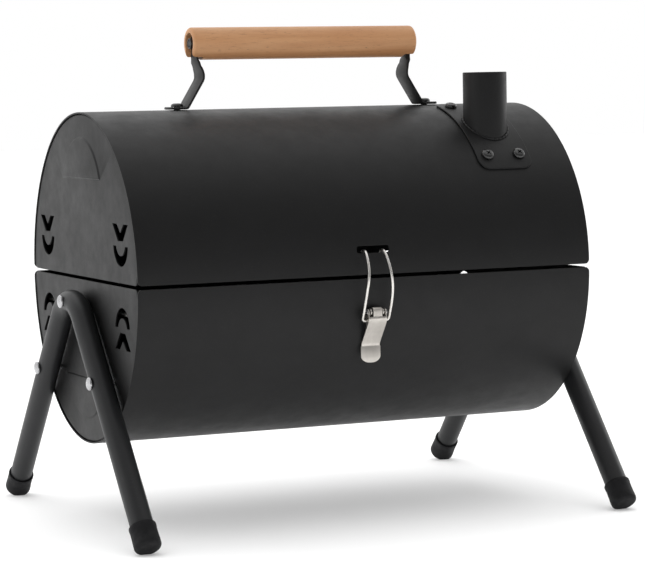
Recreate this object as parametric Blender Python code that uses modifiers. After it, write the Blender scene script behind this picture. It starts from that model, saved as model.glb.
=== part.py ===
"""Portable table-top barrel charcoal grill, built as separate pieces in metres.

X runs along the barrel, -Y is the front with the latch, +Z is up, and z = 0 is the table.
The barrel is two half cylinders that meet at a level seam and are hinged along the back.
"""
import math

import bmesh
import bpy
from mathutils import Matrix, Vector

# Barrel
BARREL_LENGTH = 0.356
BARREL_RADIUS = 0.120
SHEET = 0.0012
SEAM_HEIGHT = 0.180
SEAM_GAP = 0.0026
FIT = 0.0003
ARC_STEPS = 36

# Pressed end panels
END_RECESS = 0.0006
END_FLANGE = 0.010
END_CORNER = 0.005
EMBOSS_RADIUS = 0.0465
EMBOSS_MARGIN = 0.0178
EMBOSS_CHORD = 0.0155
EMBOSS_RISE = 0.0010
EMBOSS_SLOPE = 0.0022
VENT_INSET = 0.036
LID_VENT_SHIFT = 0.0
LOWER_VENT_SHIFT = 0.0030

# Leg frames
LEG_TUBE_RADIUS = 0.0084
LEG_TUBE_WALL = 0.0012
LEG_BEND_RADIUS = 0.032
LEG_APEX_DROP = 0.0163
LEG_FOOT_SPREAD = 0.3072
LEG_RIVET_SPREAD = 0.124
CAP_WALL = 0.0010
CAP_LENGTH = 0.0185
CAP_FLOOR = 0.003
CAP_SOLE_CUT = 0.002
CAP_EDGE = 0.0012
CAP_LIP = 0.0004

# Rivets and screws
LEG_RIVET_SHANK = 0.0025
LEG_RIVET_HEAD = 0.0048
LEG_RIVET_RISE = 0.0024
LEG_RIVET_TAIL = (0.0040, 0.0014)
SMALL_RIVET_SHANK = 0.0015
SMALL_RIVET_HEAD = 0.0030
SMALL_RIVET_RISE = 0.0012
SMALL_RIVET_TAIL = (0.0024, 0.0008)
SCREW_SHANK = 0.0025
SCREW_HEAD = 0.0047
SCREW_RISE = 0.0028
SCREW_POINT = 0.0010
NUT_WIDTH = 0.008
NUT_HEIGHT = 0.0030

# Hinges
HINGE_SPACING = 0.200
HINGE_LENGTH = 0.040
HINGE_KNUCKLE_RADIUS = 0.0031
HINGE_PIN_RADIUS = 0.0015
HINGE_LEAF = 0.0012
HINGE_LEAF_START = 0.0045
HINGE_LEAF_END = 0.022
HINGE_MIDDLE = 0.012
HINGE_OFFSET = 0.0040
HINGE_RIVET_SPACING = 0.024
HINGE_RIVET_HEIGHT = 0.015
HINGE_PIN_HEAD = 0.0009
HINGE_PIN_HEAD_HEIGHT = 0.001

# Handle
HANDLE_RISE = 0.0487
HANDLE_LENGTH = 0.182
HANDLE_RADIUS = 0.012
HANDLE_BORE = 0.008
HANDLE_ROUND = 0.002
HANDLE_NOTCH_DEPTH = 0.009
HANDLE_NOTCH_WIDTH = 0.0136
STRAP = 0.0016
STRAP_WIDTH = 0.0195
STRAP_NECK_WIDTH = 0.0118
STRAP_EYE_RADIUS = 0.0066
STRAP_END_INSET = 0.0042
STRAP_SCREW_REACH = 0.0147
STRAP_TOE = 0.0072
STRAP_HEEL = 0.0092
STRAP_ELBOW = 0.0036
STRAP_ELBOW_DROP = 0.0250
ROD_RADIUS = 0.0025

# Chimney
CHIMNEY_INSET = 0.0553
CHIMNEY_Y = -0.0615
CHIMNEY_RADIUS = 0.0165
CHIMNEY_WALL = 0.0012
CHIMNEY_RISE = 0.0237
SADDLE_WIDTH = 0.044
SADDLE_HEIGHT = 0.0942
SADDLE_CORNER = 0.008
SADDLE_SCREW_X = 0.026
SADDLE_SCREW_RISE = 0.0698
FLUE_DEPTH = 0.010

# Latch
LATCH_X = 0.0015
LATCH_SLOT_WIDTH = 0.0254
LATCH_SLOT_HEIGHT = 0.0051
LATCH_SLOT_CORNER = 0.0018
LATCH_SLOT_BOTTOM = 0.0169
LATCH_PLATE = 0.0010
LATCH_FULCRUM_STANDOFF = 0.0044
LATCH_FULCRUM_DROP = 0.0255
LATCH_PIN_RADIUS = 0.0012
LATCH_EAR_IN = 0.0042
LATCH_EAR_RADIUS = 0.0026
LATCH_PLATE_DROP = 0.0275
LATCH_PLATE_HEIGHT = 0.0150
LATCH_RIVET_DROPS = {"upper": 0.0310, "lower": 0.0375}
PIN_HEAD = 0.0006
LEVER_FLANGE_IN = 0.0062
LEVER_HALF_WIDTH = 0.0072
LEVER_TONGUE_HALF_WIDTH = 0.0077
LEVER_NECK_HALF_WIDTH = 0.0035
LEVER_WEB_OUT = 0.0028
LEVER_SHOULDER_DROP = 0.0035
LEVER_KNEE_DROP = 0.0060
LEVER_FLANGE_DROP = 0.0128
LEVER_TONGUE_DROP = 0.0240
LEVER_TONGUE_GAP = 0.0008
LEVER_TIP_DROP = 0.0375
LEVER_TIP_ROUND = 0.0050
LEVER_EYE_RADIUS = 0.0024
BAIL_WIRE_RADIUS = 0.0010
BAIL_PIVOT_DROP = 0.0060
BAIL_PIVOT_INSET = 0.0012

# Cooking grid and charcoal grate
GRID_DROP = 0.0240
GRID_BAR = 0.0040
GRID_PITCH = 0.0168
GRID_SIDE_GAP = 0.0045
GRID_END_GAP = 0.0038
GRID_CORNER = 0.006
GRID_ROWS = 2
REST_LEDGE = 0.012
REST_LENGTH = 0.100
REST_WALL = 0.012
GRATE_DROP = 0.0760
GRATE_SHEET = 0.0016
GRATE_SLOT = (0.060, 0.009)
GRATE_PITCH = (0.072, 0.021)
GRATE_END_GAP = 0.001
GRATE_CORNER = 0.004
DRILL = 0.012

LID_AXIS_Z = SEAM_HEIGHT + SEAM_GAP / 2
LOWER_AXIS_Z = SEAM_HEIGHT - SEAM_GAP / 2
LID_CREST_Z = LID_AXIS_Z + BARREL_RADIUS
HANDLE_Z = LID_CREST_Z + HANDLE_RISE
BARREL_INSIDE = BARREL_RADIUS - SHEET
EMBOSS_CENTRE = BARREL_RADIUS - EMBOSS_MARGIN - EMBOSS_RADIUS
VENT_Y = BARREL_RADIUS - VENT_INSET
END_OUTER_X = BARREL_LENGTH / 2 - END_RECESS
END_INNER_X = END_OUTER_X - SHEET
HINGE_Y = BARREL_RADIUS + HINGE_OFFSET
STRAP_EYE_X = HANDLE_LENGTH / 2 - STRAP_END_INSET
STRAP_FOOT_SCREW = STRAP_EYE_X + STRAP_SCREW_REACH
CHIMNEY_X = BARREL_LENGTH / 2 - CHIMNEY_INSET
SADDLE_SPAN = math.degrees(SADDLE_HEIGHT / BARREL_RADIUS)
SADDLE_SCREW_SPAN = math.degrees(SADDLE_SCREW_RISE / BARREL_RADIUS)
LEG_X = BARREL_LENGTH / 2 + FIT + LEG_TUBE_RADIUS
LATCH_FULCRUM_Y = -math.sqrt(
    (BARREL_RADIUS + LATCH_FULCRUM_STANDOFF) ** 2 - (LATCH_FULCRUM_DROP - SEAM_GAP / 2) ** 2)
LATCH_FULCRUM_Z = SEAM_HEIGHT - LATCH_FULCRUM_DROP
BAIL_PIVOT_Y = LATCH_FULCRUM_Y + BAIL_PIVOT_INSET
BAIL_PIVOT_Z = LATCH_FULCRUM_Z - BAIL_PIVOT_DROP
LEVER_TONGUE_Z = LATCH_FULCRUM_Z - LEVER_TONGUE_DROP
LEVER_TONGUE_Y = -math.sqrt(
    BARREL_RADIUS ** 2 - (LOWER_AXIS_Z - LEVER_TONGUE_Z) ** 2) - LEVER_TONGUE_GAP - LATCH_PLATE / 2
MERGE = 1e-6


# ---------------------------------------------------------------- scene, materials, helpers

def clear_scene():
    for obj in list(bpy.data.objects):
        bpy.data.objects.remove(obj, do_unlink=True)


def new_collection(name):
    collection = bpy.data.collections.new(name)
    bpy.context.scene.collection.children.link(collection)
    return collection


def new_material(name, colour, roughness, metallic):
    material = bpy.data.materials.new(name)
    material.use_nodes = True
    shader = material.node_tree.nodes["Principled BSDF"]
    shader.inputs["Base Color"].default_value = (*colour, 1.0)
    shader.inputs["Roughness"].default_value = roughness
    shader.inputs["Metallic"].default_value = metallic
    material.diffuse_color = (*colour, 1.0)
    return material


def add_object(name, mesh, material=None, matrix=None):
    obj = bpy.data.objects.new(name, mesh)
    PARTS.objects.link(obj)
    if matrix is not None:
        obj.matrix_world = matrix
    if material is not None:
        mesh.materials.append(material)
    return obj


def mesh_from(bm, name):
    mesh = bpy.data.meshes.new(name)
    bm.to_mesh(mesh)
    bm.free()
    return mesh


def add_cutter(name, mesh, matrix=None):
    cutter = bpy.data.objects.new(name, mesh)
    CUTTERS.objects.link(cutter)
    if matrix is not None:
        cutter.matrix_world = matrix
    cutter.display_type = 'WIRE'
    cutter.hide_render = True
    return cutter


def boolean(obj, cutter, operation='DIFFERENCE'):
    modifier = obj.modifiers.new(operation.title(), 'BOOLEAN')
    modifier.operation = operation
    modifier.object = cutter
    modifier.solver = 'EXACT'


def solidify(obj, thickness):
    """Give a mid-surface its sheet thickness, half to each side."""
    modifier = obj.modifiers.new("Sheet", 'SOLIDIFY')
    modifier.thickness = thickness
    modifier.offset = 0.0
    modifier.use_even_offset = True


def finish(obj, sharp_angle=35.0):
    """Apply the modifiers, weld, face outwards and shade round surfaces smooth."""
    bpy.context.view_layer.update()
    evaluated = obj.evaluated_get(bpy.context.evaluated_depsgraph_get())
    mesh = bpy.data.meshes.new_from_object(evaluated)
    bm = bmesh.new()
    bm.from_mesh(mesh)
    bmesh.ops.remove_doubles(bm, verts=bm.verts, dist=MERGE)
    bmesh.ops.dissolve_degenerate(bm, edges=bm.edges, dist=MERGE)
    bmesh.ops.recalc_face_normals(bm, faces=bm.faces)
    bm.to_mesh(mesh)
    bm.free()
    obj.modifiers.clear()
    obj.data = mesh
    mesh.name = obj.name
    mesh.shade_smooth()
    mesh.set_sharp_from_angle(angle=math.radians(sharp_angle))
    return obj


def arc(centre, radius, start, end, steps):
    """Points on an arc in a plane, angles in degrees from the first axis."""
    points = []
    for i in range(steps + 1):
        angle = math.radians(start + (end - start) * i / steps)
        points.append((centre[0] + radius * math.cos(angle), centre[1] + radius * math.sin(angle)))
    return points


def circle(centre, radius, steps=16):
    return arc(centre, radius, 0.0, 360.0, steps)[:-1]


def rectangle(centre, width, height):
    half_w, half_h = width / 2, height / 2
    return [(centre[0] + sx * half_w, centre[1] + sy * half_h) for sx, sy in ((-1, -1), (1, -1), (1, 1), (-1, 1))]


def rounded_rectangle(centre, width, height, radius, steps=5):
    points = []
    for sx, sy, start in ((1, 1, 0), (-1, 1, 90), (-1, -1, 180), (1, -1, 270)):
        corner = (centre[0] + sx * (width / 2 - radius), centre[1] + sy * (height / 2 - radius))
        points += arc(corner, radius, start, start + 90, steps)
    return points


def curve_to_mesh(curve, name):
    """Turn a curve into a welded mesh, because a curve takes no Boolean."""
    holder = bpy.data.objects.new(name, curve)
    PARTS.objects.link(holder)
    bpy.context.view_layer.update()
    evaluated = holder.evaluated_get(bpy.context.evaluated_depsgraph_get())
    mesh = bpy.data.meshes.new_from_object(evaluated)
    bpy.data.objects.remove(holder, do_unlink=True)
    bm = bmesh.new()
    bm.from_mesh(mesh)
    bmesh.ops.remove_doubles(bm, verts=bm.verts, dist=MERGE)
    bmesh.ops.recalc_face_normals(bm, faces=bm.faces)
    bm.to_mesh(mesh)
    bm.free()
    return mesh


def plate_mesh(name, outlines, thickness):
    """A flat plate in the local XY plane; outlines after the first are its windows."""
    curve = bpy.data.curves.new(name, 'CURVE')
    curve.dimensions = '2D'
    curve.fill_mode = 'BOTH'
    curve.extrude = thickness / 2
    for outline in outlines:
        spline = curve.splines.new('POLY')
        spline.points.add(len(outline) - 1)
        for point, (x, y) in zip(spline.points, outline):
            point.co = (x, y, 0.0, 1.0)
        spline.use_cyclic_u = True
    return curve_to_mesh(curve, name)


def wire_mesh(name, points, radius, bevel_resolution=2, caps=True):
    """A round wire or tube along points."""
    curve = bpy.data.curves.new(name, 'CURVE')
    curve.dimensions = '3D'
    curve.bevel_depth = radius
    curve.bevel_resolution = bevel_resolution
    curve.use_fill_caps = caps
    curve.render_resolution_u = 0
    spline = curve.splines.new('POLY')
    spline.points.add(len(points) - 1)
    for point, position in zip(spline.points, points):
        point.co = (*position, 1.0)
    return curve_to_mesh(curve, name)


def strip_mesh(name, path, half_widths, across):
    """An open strip along path; path points are the two axes other than `across`."""
    bm = bmesh.new()
    rows = []
    for (a, b), half_width in zip(path, half_widths):
        ends = [(-half_width, a, b), (half_width, a, b)]
        if across == 'Y':
            ends = [(a, -half_width, b), (a, half_width, b)]
        rows.append([bm.verts.new(end) for end in ends])
    for low, high in zip(rows, rows[1:]):
        bm.faces.new((low[0], low[1], high[1], high[0]))
    return mesh_from(bm, name)


def turned_mesh(name, profile, steps, closed=False):
    """A profile of (radius, height) points turned about local Z."""
    bm = bmesh.new()
    verts = [bm.verts.new((radius, 0.0, height)) for radius, height in profile]
    for first, second in zip(verts, verts[1:]):
        bm.edges.new((first, second))
    if closed:
        bm.edges.new((verts[-1], verts[0]))
    obj = bpy.data.objects.new(name, mesh_from(bm, name))
    PARTS.objects.link(obj)
    add_screw(obj, 'Z', 360.0, steps)
    bpy.context.view_layer.update()
    evaluated = obj.evaluated_get(bpy.context.evaluated_depsgraph_get())
    mesh = bpy.data.meshes.new_from_object(evaluated)
    bpy.data.objects.remove(obj, do_unlink=True)
    return mesh


def add_screw(obj, axis, degrees, steps):
    modifier = obj.modifiers.new("Turn", 'SCREW')
    modifier.axis = axis
    modifier.angle = math.radians(degrees)
    modifier.steps = steps
    modifier.render_steps = steps
    modifier.use_merge_vertices = True
    modifier.merge_threshold = MERGE


def cylinders_mesh(name, cylinders, segments=16):
    """One mesh of several separate cylinders, each (matrix, radius, length) about its local Z."""
    bm = bmesh.new()
    for matrix, radius, length in cylinders:
        bmesh.ops.create_cone(bm, cap_ends=True, segments=segments, radius1=radius, radius2=radius,
                              depth=length, matrix=matrix)
    return mesh_from(bm, name)


def box_mesh(name, size):
    bm = bmesh.new()
    bmesh.ops.create_cube(bm, size=1.0, matrix=Matrix.Diagonal((*size, 1.0)))
    return mesh_from(bm, name)


def along(direction, position):
    """A matrix whose local Z points along direction from position."""
    turn = Vector(direction).to_track_quat('Z', 'Y').to_matrix().to_4x4()
    return Matrix.Translation(position) @ turn


def on_barrel(x, theta, radius, axis_z):
    """Local Z outwards at theta degrees forward of the barrel's top."""
    angle = math.radians(theta)
    outwards = Vector((0.0, -math.sin(angle), math.cos(angle)))
    return along(outwards, Vector((x, 0.0, axis_z)) + radius * outwards)


def theta_at(drop):
    """Angle forward of the top, on the front, at a height below the seam (negative: above it)."""
    return 90.0 + math.degrees(math.asin(drop / BARREL_RADIUS))


def hang_on(pivot, objects):
    for obj in objects:
        obj.parent = pivot
        obj.matrix_parent_inverse = pivot.matrix_world.inverted()


def new_pivot(name, location):
    pivot = bpy.data.objects.new(name, None)
    pivot.location = location
    pivot.empty_display_size = 0.02
    PARTS.objects.link(pivot)
    bpy.context.view_layer.update()
    return pivot


# ---------------------------------------------------------------- fasteners

def dome_profile(head, rise, shank, grip, tail, tail_rise, rings=4):
    """A headed pin: dome above z = FIT, shank down through grip, and a flat tail."""
    profile = []
    for i in range(rings + 1):
        angle = math.radians(90.0 * (1.0 - i / rings))
        profile.append((head * math.cos(angle), FIT + rise * math.sin(angle)))
    profile[0] = (0.0, FIT + rise)
    profile += [(shank, FIT), (shank, -grip)]
    if tail > shank:
        profile += [(tail, -grip), (tail, -grip - tail_rise)]
    profile.append((0.0, profile[-1][1]))
    return profile


def pin_profile(radius, half_length, head, head_height):
    """A plain pin with a flat head at each end, about its own middle."""
    outer = half_length + head_height
    upper = [(0.0, outer), (radius + head, outer), (radius + head, half_length), (radius, half_length)]
    return upper + [(r, -height) for r, height in reversed(upper)]


def small_rivet(name, matrix, grip, material):
    profile = dome_profile(SMALL_RIVET_HEAD, SMALL_RIVET_RISE, SMALL_RIVET_SHANK, grip,
                           *SMALL_RIVET_TAIL, rings=2)
    return finish(add_object(name, turned_mesh(name, profile, 8), material, matrix))


def pan_screw(name, matrix, length):
    """A pan-head machine screw: flat crown with a round shoulder."""
    shoulder = SCREW_RISE * 0.55
    profile = [(0.0, FIT + SCREW_RISE), (SCREW_HEAD * 0.45, FIT + SCREW_RISE),
               (SCREW_HEAD * 0.85, FIT + SCREW_RISE * 0.80), (SCREW_HEAD, FIT + shoulder),
               (SCREW_HEAD, FIT), (SCREW_SHANK, FIT), (SCREW_SHANK, -length), (0.0, -length)]
    return finish(add_object(name, turned_mesh(name, profile, 12), BLACK_SCREW, matrix))


def hex_nut(name, matrix, bore):
    """A hexagon nut lying below the plane z = 0 of its matrix."""
    hexagon = circle((0.0, 0.0), NUT_WIDTH / 2 / math.cos(math.radians(30)), 6)
    mesh = plate_mesh(name, [hexagon, circle((0.0, 0.0), bore, 12)], NUT_HEIGHT)
    nut = add_object(name, mesh, NICKEL, matrix @ Matrix.Translation((0, 0, -NUT_HEIGHT / 2)))
    return finish(nut)


# ---------------------------------------------------------------- barrel halves

def half_shell(name, half, axis_z):
    """A half cylinder open at both ends; half is +1 for the lid and -1 for the lower half."""
    bm = bmesh.new()
    mid_radius = BARREL_RADIUS - SHEET / 2
    ends = [bm.verts.new((sign * BARREL_LENGTH / 2, -mid_radius, 0.0)) for sign in (-1, 1)]
    bm.edges.new(ends)
    shell = add_object(name, mesh_from(bm, name), BLACK_SHEET, Matrix.Translation((0.0, 0.0, axis_z)))
    add_screw(shell, 'X', -180.0 * half, ARC_STEPS)
    solidify(shell, SHEET)
    return shell


def half_disc(radius, corner):
    """Outline of a half disc on the base line, its two corners rounded."""
    centre_y = math.sqrt((radius - corner) ** 2 - corner ** 2)
    blend = math.degrees(math.atan2(corner, centre_y))
    right = arc((centre_y, corner), corner, -90.0, blend, 4)
    rim = arc((0.0, 0.0), radius, blend, 180.0 - blend, ARC_STEPS)
    left = arc((-centre_y, corner), corner, 180.0 - blend, 270.0, 4)
    return right + rim[1:-1] + left


def vent_outlines(centre, shift):
    """A fish-tail slot above a crescent slot, measured up from the half's own edge."""
    tail = [(0.0165, 0.0417), (0.0070, 0.0417), (0.0, 0.0355), (-0.0070, 0.0417), (-0.0165, 0.0417),
            (-0.0055, 0.0297), (0.0055, 0.0297)]
    crescent = arc((0.0, 0.0272), 0.0155, 184.0, 356.0, 10) + arc((0.0, 0.0292), 0.0100, -18.0, -162.0, 6)
    return [[(centre + y, z + shift) for y, z in outline] for outline in (tail, crescent)]


def emboss_outline(inset):
    """The half-moon panel press, shrunk by inset."""
    radius = EMBOSS_RADIUS - inset
    chord = EMBOSS_CHORD + inset
    start = math.degrees(math.asin(chord / radius))
    return arc((0.0, EMBOSS_CENTRE), radius, start, 180.0 - start, 16)


def add_loop(bm, x, outline, half):
    verts = [bm.verts.new((x, y, half * z)) for y, z in outline]
    edges = [bm.edges.new(pair) for pair in zip(verts, verts[1:] + verts[:1])]
    return verts, edges


def end_panel(name, side, half, axis_z, vent_shift, holes):
    """A pressed end: flat face with vents and a raised half-moon, and a flange inside the shell."""
    bm = bmesh.new()
    radius = BARREL_INSIDE - FIT - SHEET / 2
    rim_verts, edges = add_loop(bm, 0.0, half_disc(radius, END_CORNER), half)
    rim_edges = list(edges)
    for sign in (-1, 1):
        for outline in vent_outlines(sign * VENT_Y, vent_shift):
            edges += add_loop(bm, 0.0, outline, half)[1]
    for y, z in holes:
        edges += add_loop(bm, 0.0, circle((y, z), LEG_RIVET_SHANK + FIT, 12), half)[1]
    base_verts, base_edges = add_loop(bm, 0.0, emboss_outline(0.0), half)
    bmesh.ops.triangle_fill(bm, edges=edges + base_edges, use_beauty=True)
    top_verts, top_edges = add_loop(bm, side * EMBOSS_RISE, emboss_outline(EMBOSS_SLOPE), half)
    bmesh.ops.triangle_fill(bm, edges=top_edges, use_beauty=True)
    count = len(base_verts)
    for i in range(count):
        j = (i + 1) % count
        bm.faces.new((base_verts[i], base_verts[j], top_verts[j], top_verts[i]))
    curved = [edge for edge in rim_edges if min(abs(vert.co.z) for vert in edge.verts) > END_CORNER]
    made = bmesh.ops.extrude_edge_only(bm, edges=curved)["geom"]
    for vert in (item for item in made if isinstance(item, bmesh.types.BMVert)):
        vert.co.x = -side * END_FLANGE
    bmesh.ops.recalc_face_normals(bm, faces=bm.faces)
    x = side * (END_OUTER_X - SHEET / 2)
    panel = add_object(name, mesh_from(bm, name), BLACK_SHEET, Matrix.Translation((x, 0.0, axis_z)))
    solidify(panel, SHEET)
    return finish(panel)


# ---------------------------------------------------------------- leg frames

def leg_geometry():
    """Half angle from vertical, bend centre height and tube-end height of the inverted V."""
    apex_z = SEAM_HEIGHT - LEG_APEX_DROP
    bend_z = apex_z - LEG_BEND_RADIUS
    cap_radius = LEG_TUBE_RADIUS + FIT + CAP_WALL
    half_spread = LEG_FOOT_SPREAD / 2
    foot_z = 0.0
    angle = 0.7
    for _ in range(20):
        foot_z = cap_radius * math.sin(angle) - CAP_SOLE_CUT
        reach = math.hypot(half_spread, bend_z - foot_z)
        angle = math.atan2(half_spread, bend_z - foot_z) - math.asin(LEG_BEND_RADIUS / reach)
    return angle, bend_z, foot_z


def leg_path(angle, bend_z, foot_z):
    """Centre line from the front foot over the bend to the back foot, as (y, z)."""
    degrees = math.degrees(angle)
    bend = arc((0.0, bend_z), LEG_BEND_RADIUS, 180.0 - degrees, degrees, 10)
    half_spread = LEG_FOOT_SPREAD / 2
    inset = CAP_FLOOR + FIT
    tip = (half_spread - inset * math.sin(angle), foot_z + inset * math.cos(angle))
    return [(-tip[0], tip[1])] + bend + [tip]


def leg_rivet_points(angle, bend_z):
    """Rivet places (y, z): one at the apex and one on each leg."""
    vertex_z = bend_z + LEG_BEND_RADIUS / math.sin(angle)
    side_y = LEG_RIVET_SPREAD / 2
    side_z = vertex_z - side_y / math.tan(angle)
    return {"top": (0.0, bend_z + LEG_BEND_RADIUS), "front": (-side_y, side_z), "back": (side_y, side_z)}


def make_legs():
    angle, bend_z, foot_z = leg_geometry()
    rivets = leg_rivet_points(angle, bend_z)
    path = leg_path(angle, bend_z, foot_z)
    for side_name, side in (("left", -1), ("right", 1)):
        points = [(side * LEG_X, y, z) for y, z in path]
        name = "leg_" + side_name
        mid_radius = LEG_TUBE_RADIUS - LEG_TUBE_WALL / 2
        leg = add_object(name, wire_mesh(name, points, mid_radius, 5, caps=False), BLACK_TUBE)
        solidify(leg, LEG_TUBE_WALL)
        holes = [(along((1, 0, 0), (side * LEG_X, y, z)), LEG_RIVET_SHANK + FIT, 3 * LEG_TUBE_RADIUS)
                 for y, z in rivets.values()]
        boolean(leg, add_cutter(name + "_holes", cylinders_mesh(name + "_holes", holes, 10)))
        finish(leg)
        outer_x = LEG_X + LEG_TUBE_RADIUS
        grip = outer_x - END_INNER_X + FIT
        profile = dome_profile(LEG_RIVET_HEAD, LEG_RIVET_RISE, LEG_RIVET_SHANK, grip,
                               *LEG_RIVET_TAIL, rings=3)
        for place, (y, z) in rivets.items():
            rivet_name = "leg_rivet_" + side_name + "_" + place
            matrix = along((side, 0, 0), (side * outer_x, y, z))
            finish(add_object(rivet_name, turned_mesh(rivet_name, profile, 10), CHROME, matrix))
        for place, sign in (("front", -1), ("back", 1)):
            make_cap("foot_cap_" + place + "_" + side_name, side, sign, angle, foot_z)
    return rivets


def make_cap(name, side, sign, angle, foot_z):
    """A rubber cup on the tube's end, its lowest edge worn to a flat sole at z = 0."""
    inner = LEG_TUBE_RADIUS + FIT
    outer = inner + CAP_WALL
    profile = [(0.0, CAP_FLOOR), (inner, CAP_FLOOR), (inner, CAP_LENGTH), (outer - CAP_LIP, CAP_LENGTH),
               (outer, CAP_LENGTH - CAP_LIP), (outer, CAP_EDGE), (outer - CAP_EDGE, 0.0), (0.0, 0.0)]
    up_the_leg = (0.0, -sign * math.sin(angle), math.cos(angle))
    matrix = along(up_the_leg, (side * LEG_X, sign * LEG_FOOT_SPREAD / 2, foot_z))
    cap = add_object(name, turned_mesh(name, profile, 16), RUBBER, matrix)
    boolean(cap, TABLE_CUTTER)
    return finish(cap)


# ---------------------------------------------------------------- grid, grate and their rests

def make_rests():
    """Angle strips welded to the lower ends; the cooking grid lies on their ledges."""
    wall_x = END_INNER_X - FIT - SHEET / 2
    top_z = SEAM_HEIGHT - GRID_DROP - SHEET / 2
    for side_name, side in (("left", -1), ("right", 1)):
        name = "grid_rest_" + side_name
        path = [(side * (wall_x - REST_LEDGE), top_z), (side * wall_x, top_z), (side * wall_x, top_z - REST_WALL)]
        rest = add_object(name, strip_mesh(name, path, [REST_LENGTH / 2] * 3, 'Y'), BLACK_SHEET)
        solidify(rest, SHEET)
        finish(rest)


def make_cooking_grid():
    """Square-bar grid: a frame, cross bars and one long bar in one layer."""
    length = 2 * (END_INNER_X - FIT - GRID_END_GAP)
    bottom_z = SEAM_HEIGHT - GRID_DROP + FIT
    depth_below_axis = LOWER_AXIS_Z - bottom_z
    width = 2 * (math.sqrt(BARREL_INSIDE ** 2 - depth_below_axis ** 2) - GRID_SIDE_GAP)
    columns = int((length - GRID_BAR) / GRID_PITCH)
    pitch_x = (length - GRID_BAR) / columns
    pitch_y = (width - GRID_BAR) / GRID_ROWS
    outlines = [rounded_rectangle((0.0, 0.0), length, width, GRID_CORNER, 3)]
    for i in range(columns):
        for j in range(GRID_ROWS):
            centre = ((i + 0.5 - columns / 2) * pitch_x, (j + 0.5 - GRID_ROWS / 2) * pitch_y)
            outlines.append(rectangle(centre, pitch_x - GRID_BAR, pitch_y - GRID_BAR))
    matrix = Matrix.Translation((0.0, 0.0, bottom_z + GRID_BAR / 2))
    return finish(add_object("cooking_grid", plate_mesh("cooking_grid", outlines, GRID_BAR), STEEL_WIRE, matrix))


def make_charcoal_grate():
    """Slotted sheet whose long edges lie on the curved wall."""
    bottom_z = SEAM_HEIGHT - GRATE_DROP
    depth_below_axis = LOWER_AXIS_Z - bottom_z
    half_width = math.sqrt((BARREL_INSIDE - FIT) ** 2 - depth_below_axis ** 2)
    half_length = END_INNER_X - REST_LEDGE - SHEET - GRATE_END_GAP
    outlines = [rounded_rectangle((0.0, 0.0), 2 * half_length, 2 * half_width, GRATE_CORNER, 2)]
    columns = int((2 * half_length - GRATE_SLOT[0]) / GRATE_PITCH[0])
    rows = int((2 * half_width - GRATE_SLOT[1]) / GRATE_PITCH[1])
    for i in range(columns):
        for j in range(rows):
            centre = ((i + 0.5 - columns / 2) * GRATE_PITCH[0], (j + 0.5 - rows / 2) * GRATE_PITCH[1])
            outlines.append(rectangle(centre, *GRATE_SLOT))
    matrix = Matrix.Translation((0.0, 0.0, bottom_z + GRATE_SHEET / 2))
    mesh = plate_mesh("charcoal_grate", outlines, GRATE_SHEET)
    return finish(add_object("charcoal_grate", mesh, STEEL_WIRE, matrix))


# ---------------------------------------------------------------- hinges

def hinge_theta(drop):
    """Angle on the back at a height below the seam, as on_barrel measures it."""
    return -theta_at(drop)


def hinge_leaf(name, x, half, axis_z):
    """A leaf wrapped on the back of one half, with its own knuckles on the hinge axis."""
    inner = BARREL_RADIUS + FIT
    mid_radius = inner + HINGE_LEAF / 2
    offset = half * SEAM_GAP / 2
    heights = [HINGE_LEAF_START + (HINGE_LEAF_END - HINGE_LEAF_START) * i / 4 for i in range(5)]
    path = []
    for height in heights:
        drop = height - abs(offset)
        path.append((math.sqrt(mid_radius ** 2 - drop ** 2), SEAM_HEIGHT + half * height))
    leaf = add_object(name, strip_mesh(name, path, [HINGE_LENGTH / 2] * 5, 'X'), BLACK_SHEET,
                      Matrix.Translation((x, 0.0, 0.0)))
    solidify(leaf, HINGE_LEAF)
    middle = HINGE_MIDDLE / 2
    outer_length = HINGE_LENGTH / 2 - middle - FIT
    spans = [(0.0, HINGE_MIDDLE)]
    if half < 0:
        shift = middle + FIT + outer_length / 2
        spans = [(-shift, outer_length), (shift, outer_length)]
    for index, (centre, length) in enumerate(spans):
        knuckle = cylinders_mesh(name, [(along((1, 0, 0), (x + centre, HINGE_Y, SEAM_HEIGHT)),
                                         HINGE_KNUCKLE_RADIUS, length)], 12)
        boolean(leaf, add_cutter(name + "_knuckle_%d" % index, knuckle), 'UNION')
        tab_height = HINGE_LEAF_START + 0.0008
        tab = add_cutter(name + "_tab_%d" % index, box_mesh(name, (length, HINGE_LEAF, tab_height)),
                         Matrix.Translation((x + centre, inner + HINGE_LEAF / 2 + 0.0002,
                                             SEAM_HEIGHT + half * tab_height / 2)))
        boolean(leaf, tab, 'UNION')
    bore = [(along((1, 0, 0), (x, HINGE_Y, SEAM_HEIGHT)), HINGE_PIN_RADIUS + FIT, 2 * HINGE_LENGTH)]
    for sign in (-1, 1):
        bore.append((on_barrel(x + sign * HINGE_RIVET_SPACING / 2, hinge_theta(-half * HINGE_RIVET_HEIGHT), inner, axis_z),
                     SMALL_RIVET_SHANK + FIT, 4 * HINGE_LEAF))
    boolean(leaf, add_cutter(name + "_bore", cylinders_mesh(name, bore, 10)))
    return finish(leaf)


def hinge_rivet_places(half, axis_z):
    """Matrices at the barrel's own surface for the four rivets of one half's leaves."""
    places = {}
    for side_name, side in (("left", -1), ("right", 1)):
        for place, sign in (("outer", side), ("inner", -side)):
            x = side * HINGE_SPACING / 2 + sign * HINGE_RIVET_SPACING / 2
            theta = hinge_theta(-half * HINGE_RIVET_HEIGHT)
            places[side_name + "_" + place] = on_barrel(x, theta, BARREL_RADIUS, axis_z)
    return places


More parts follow.
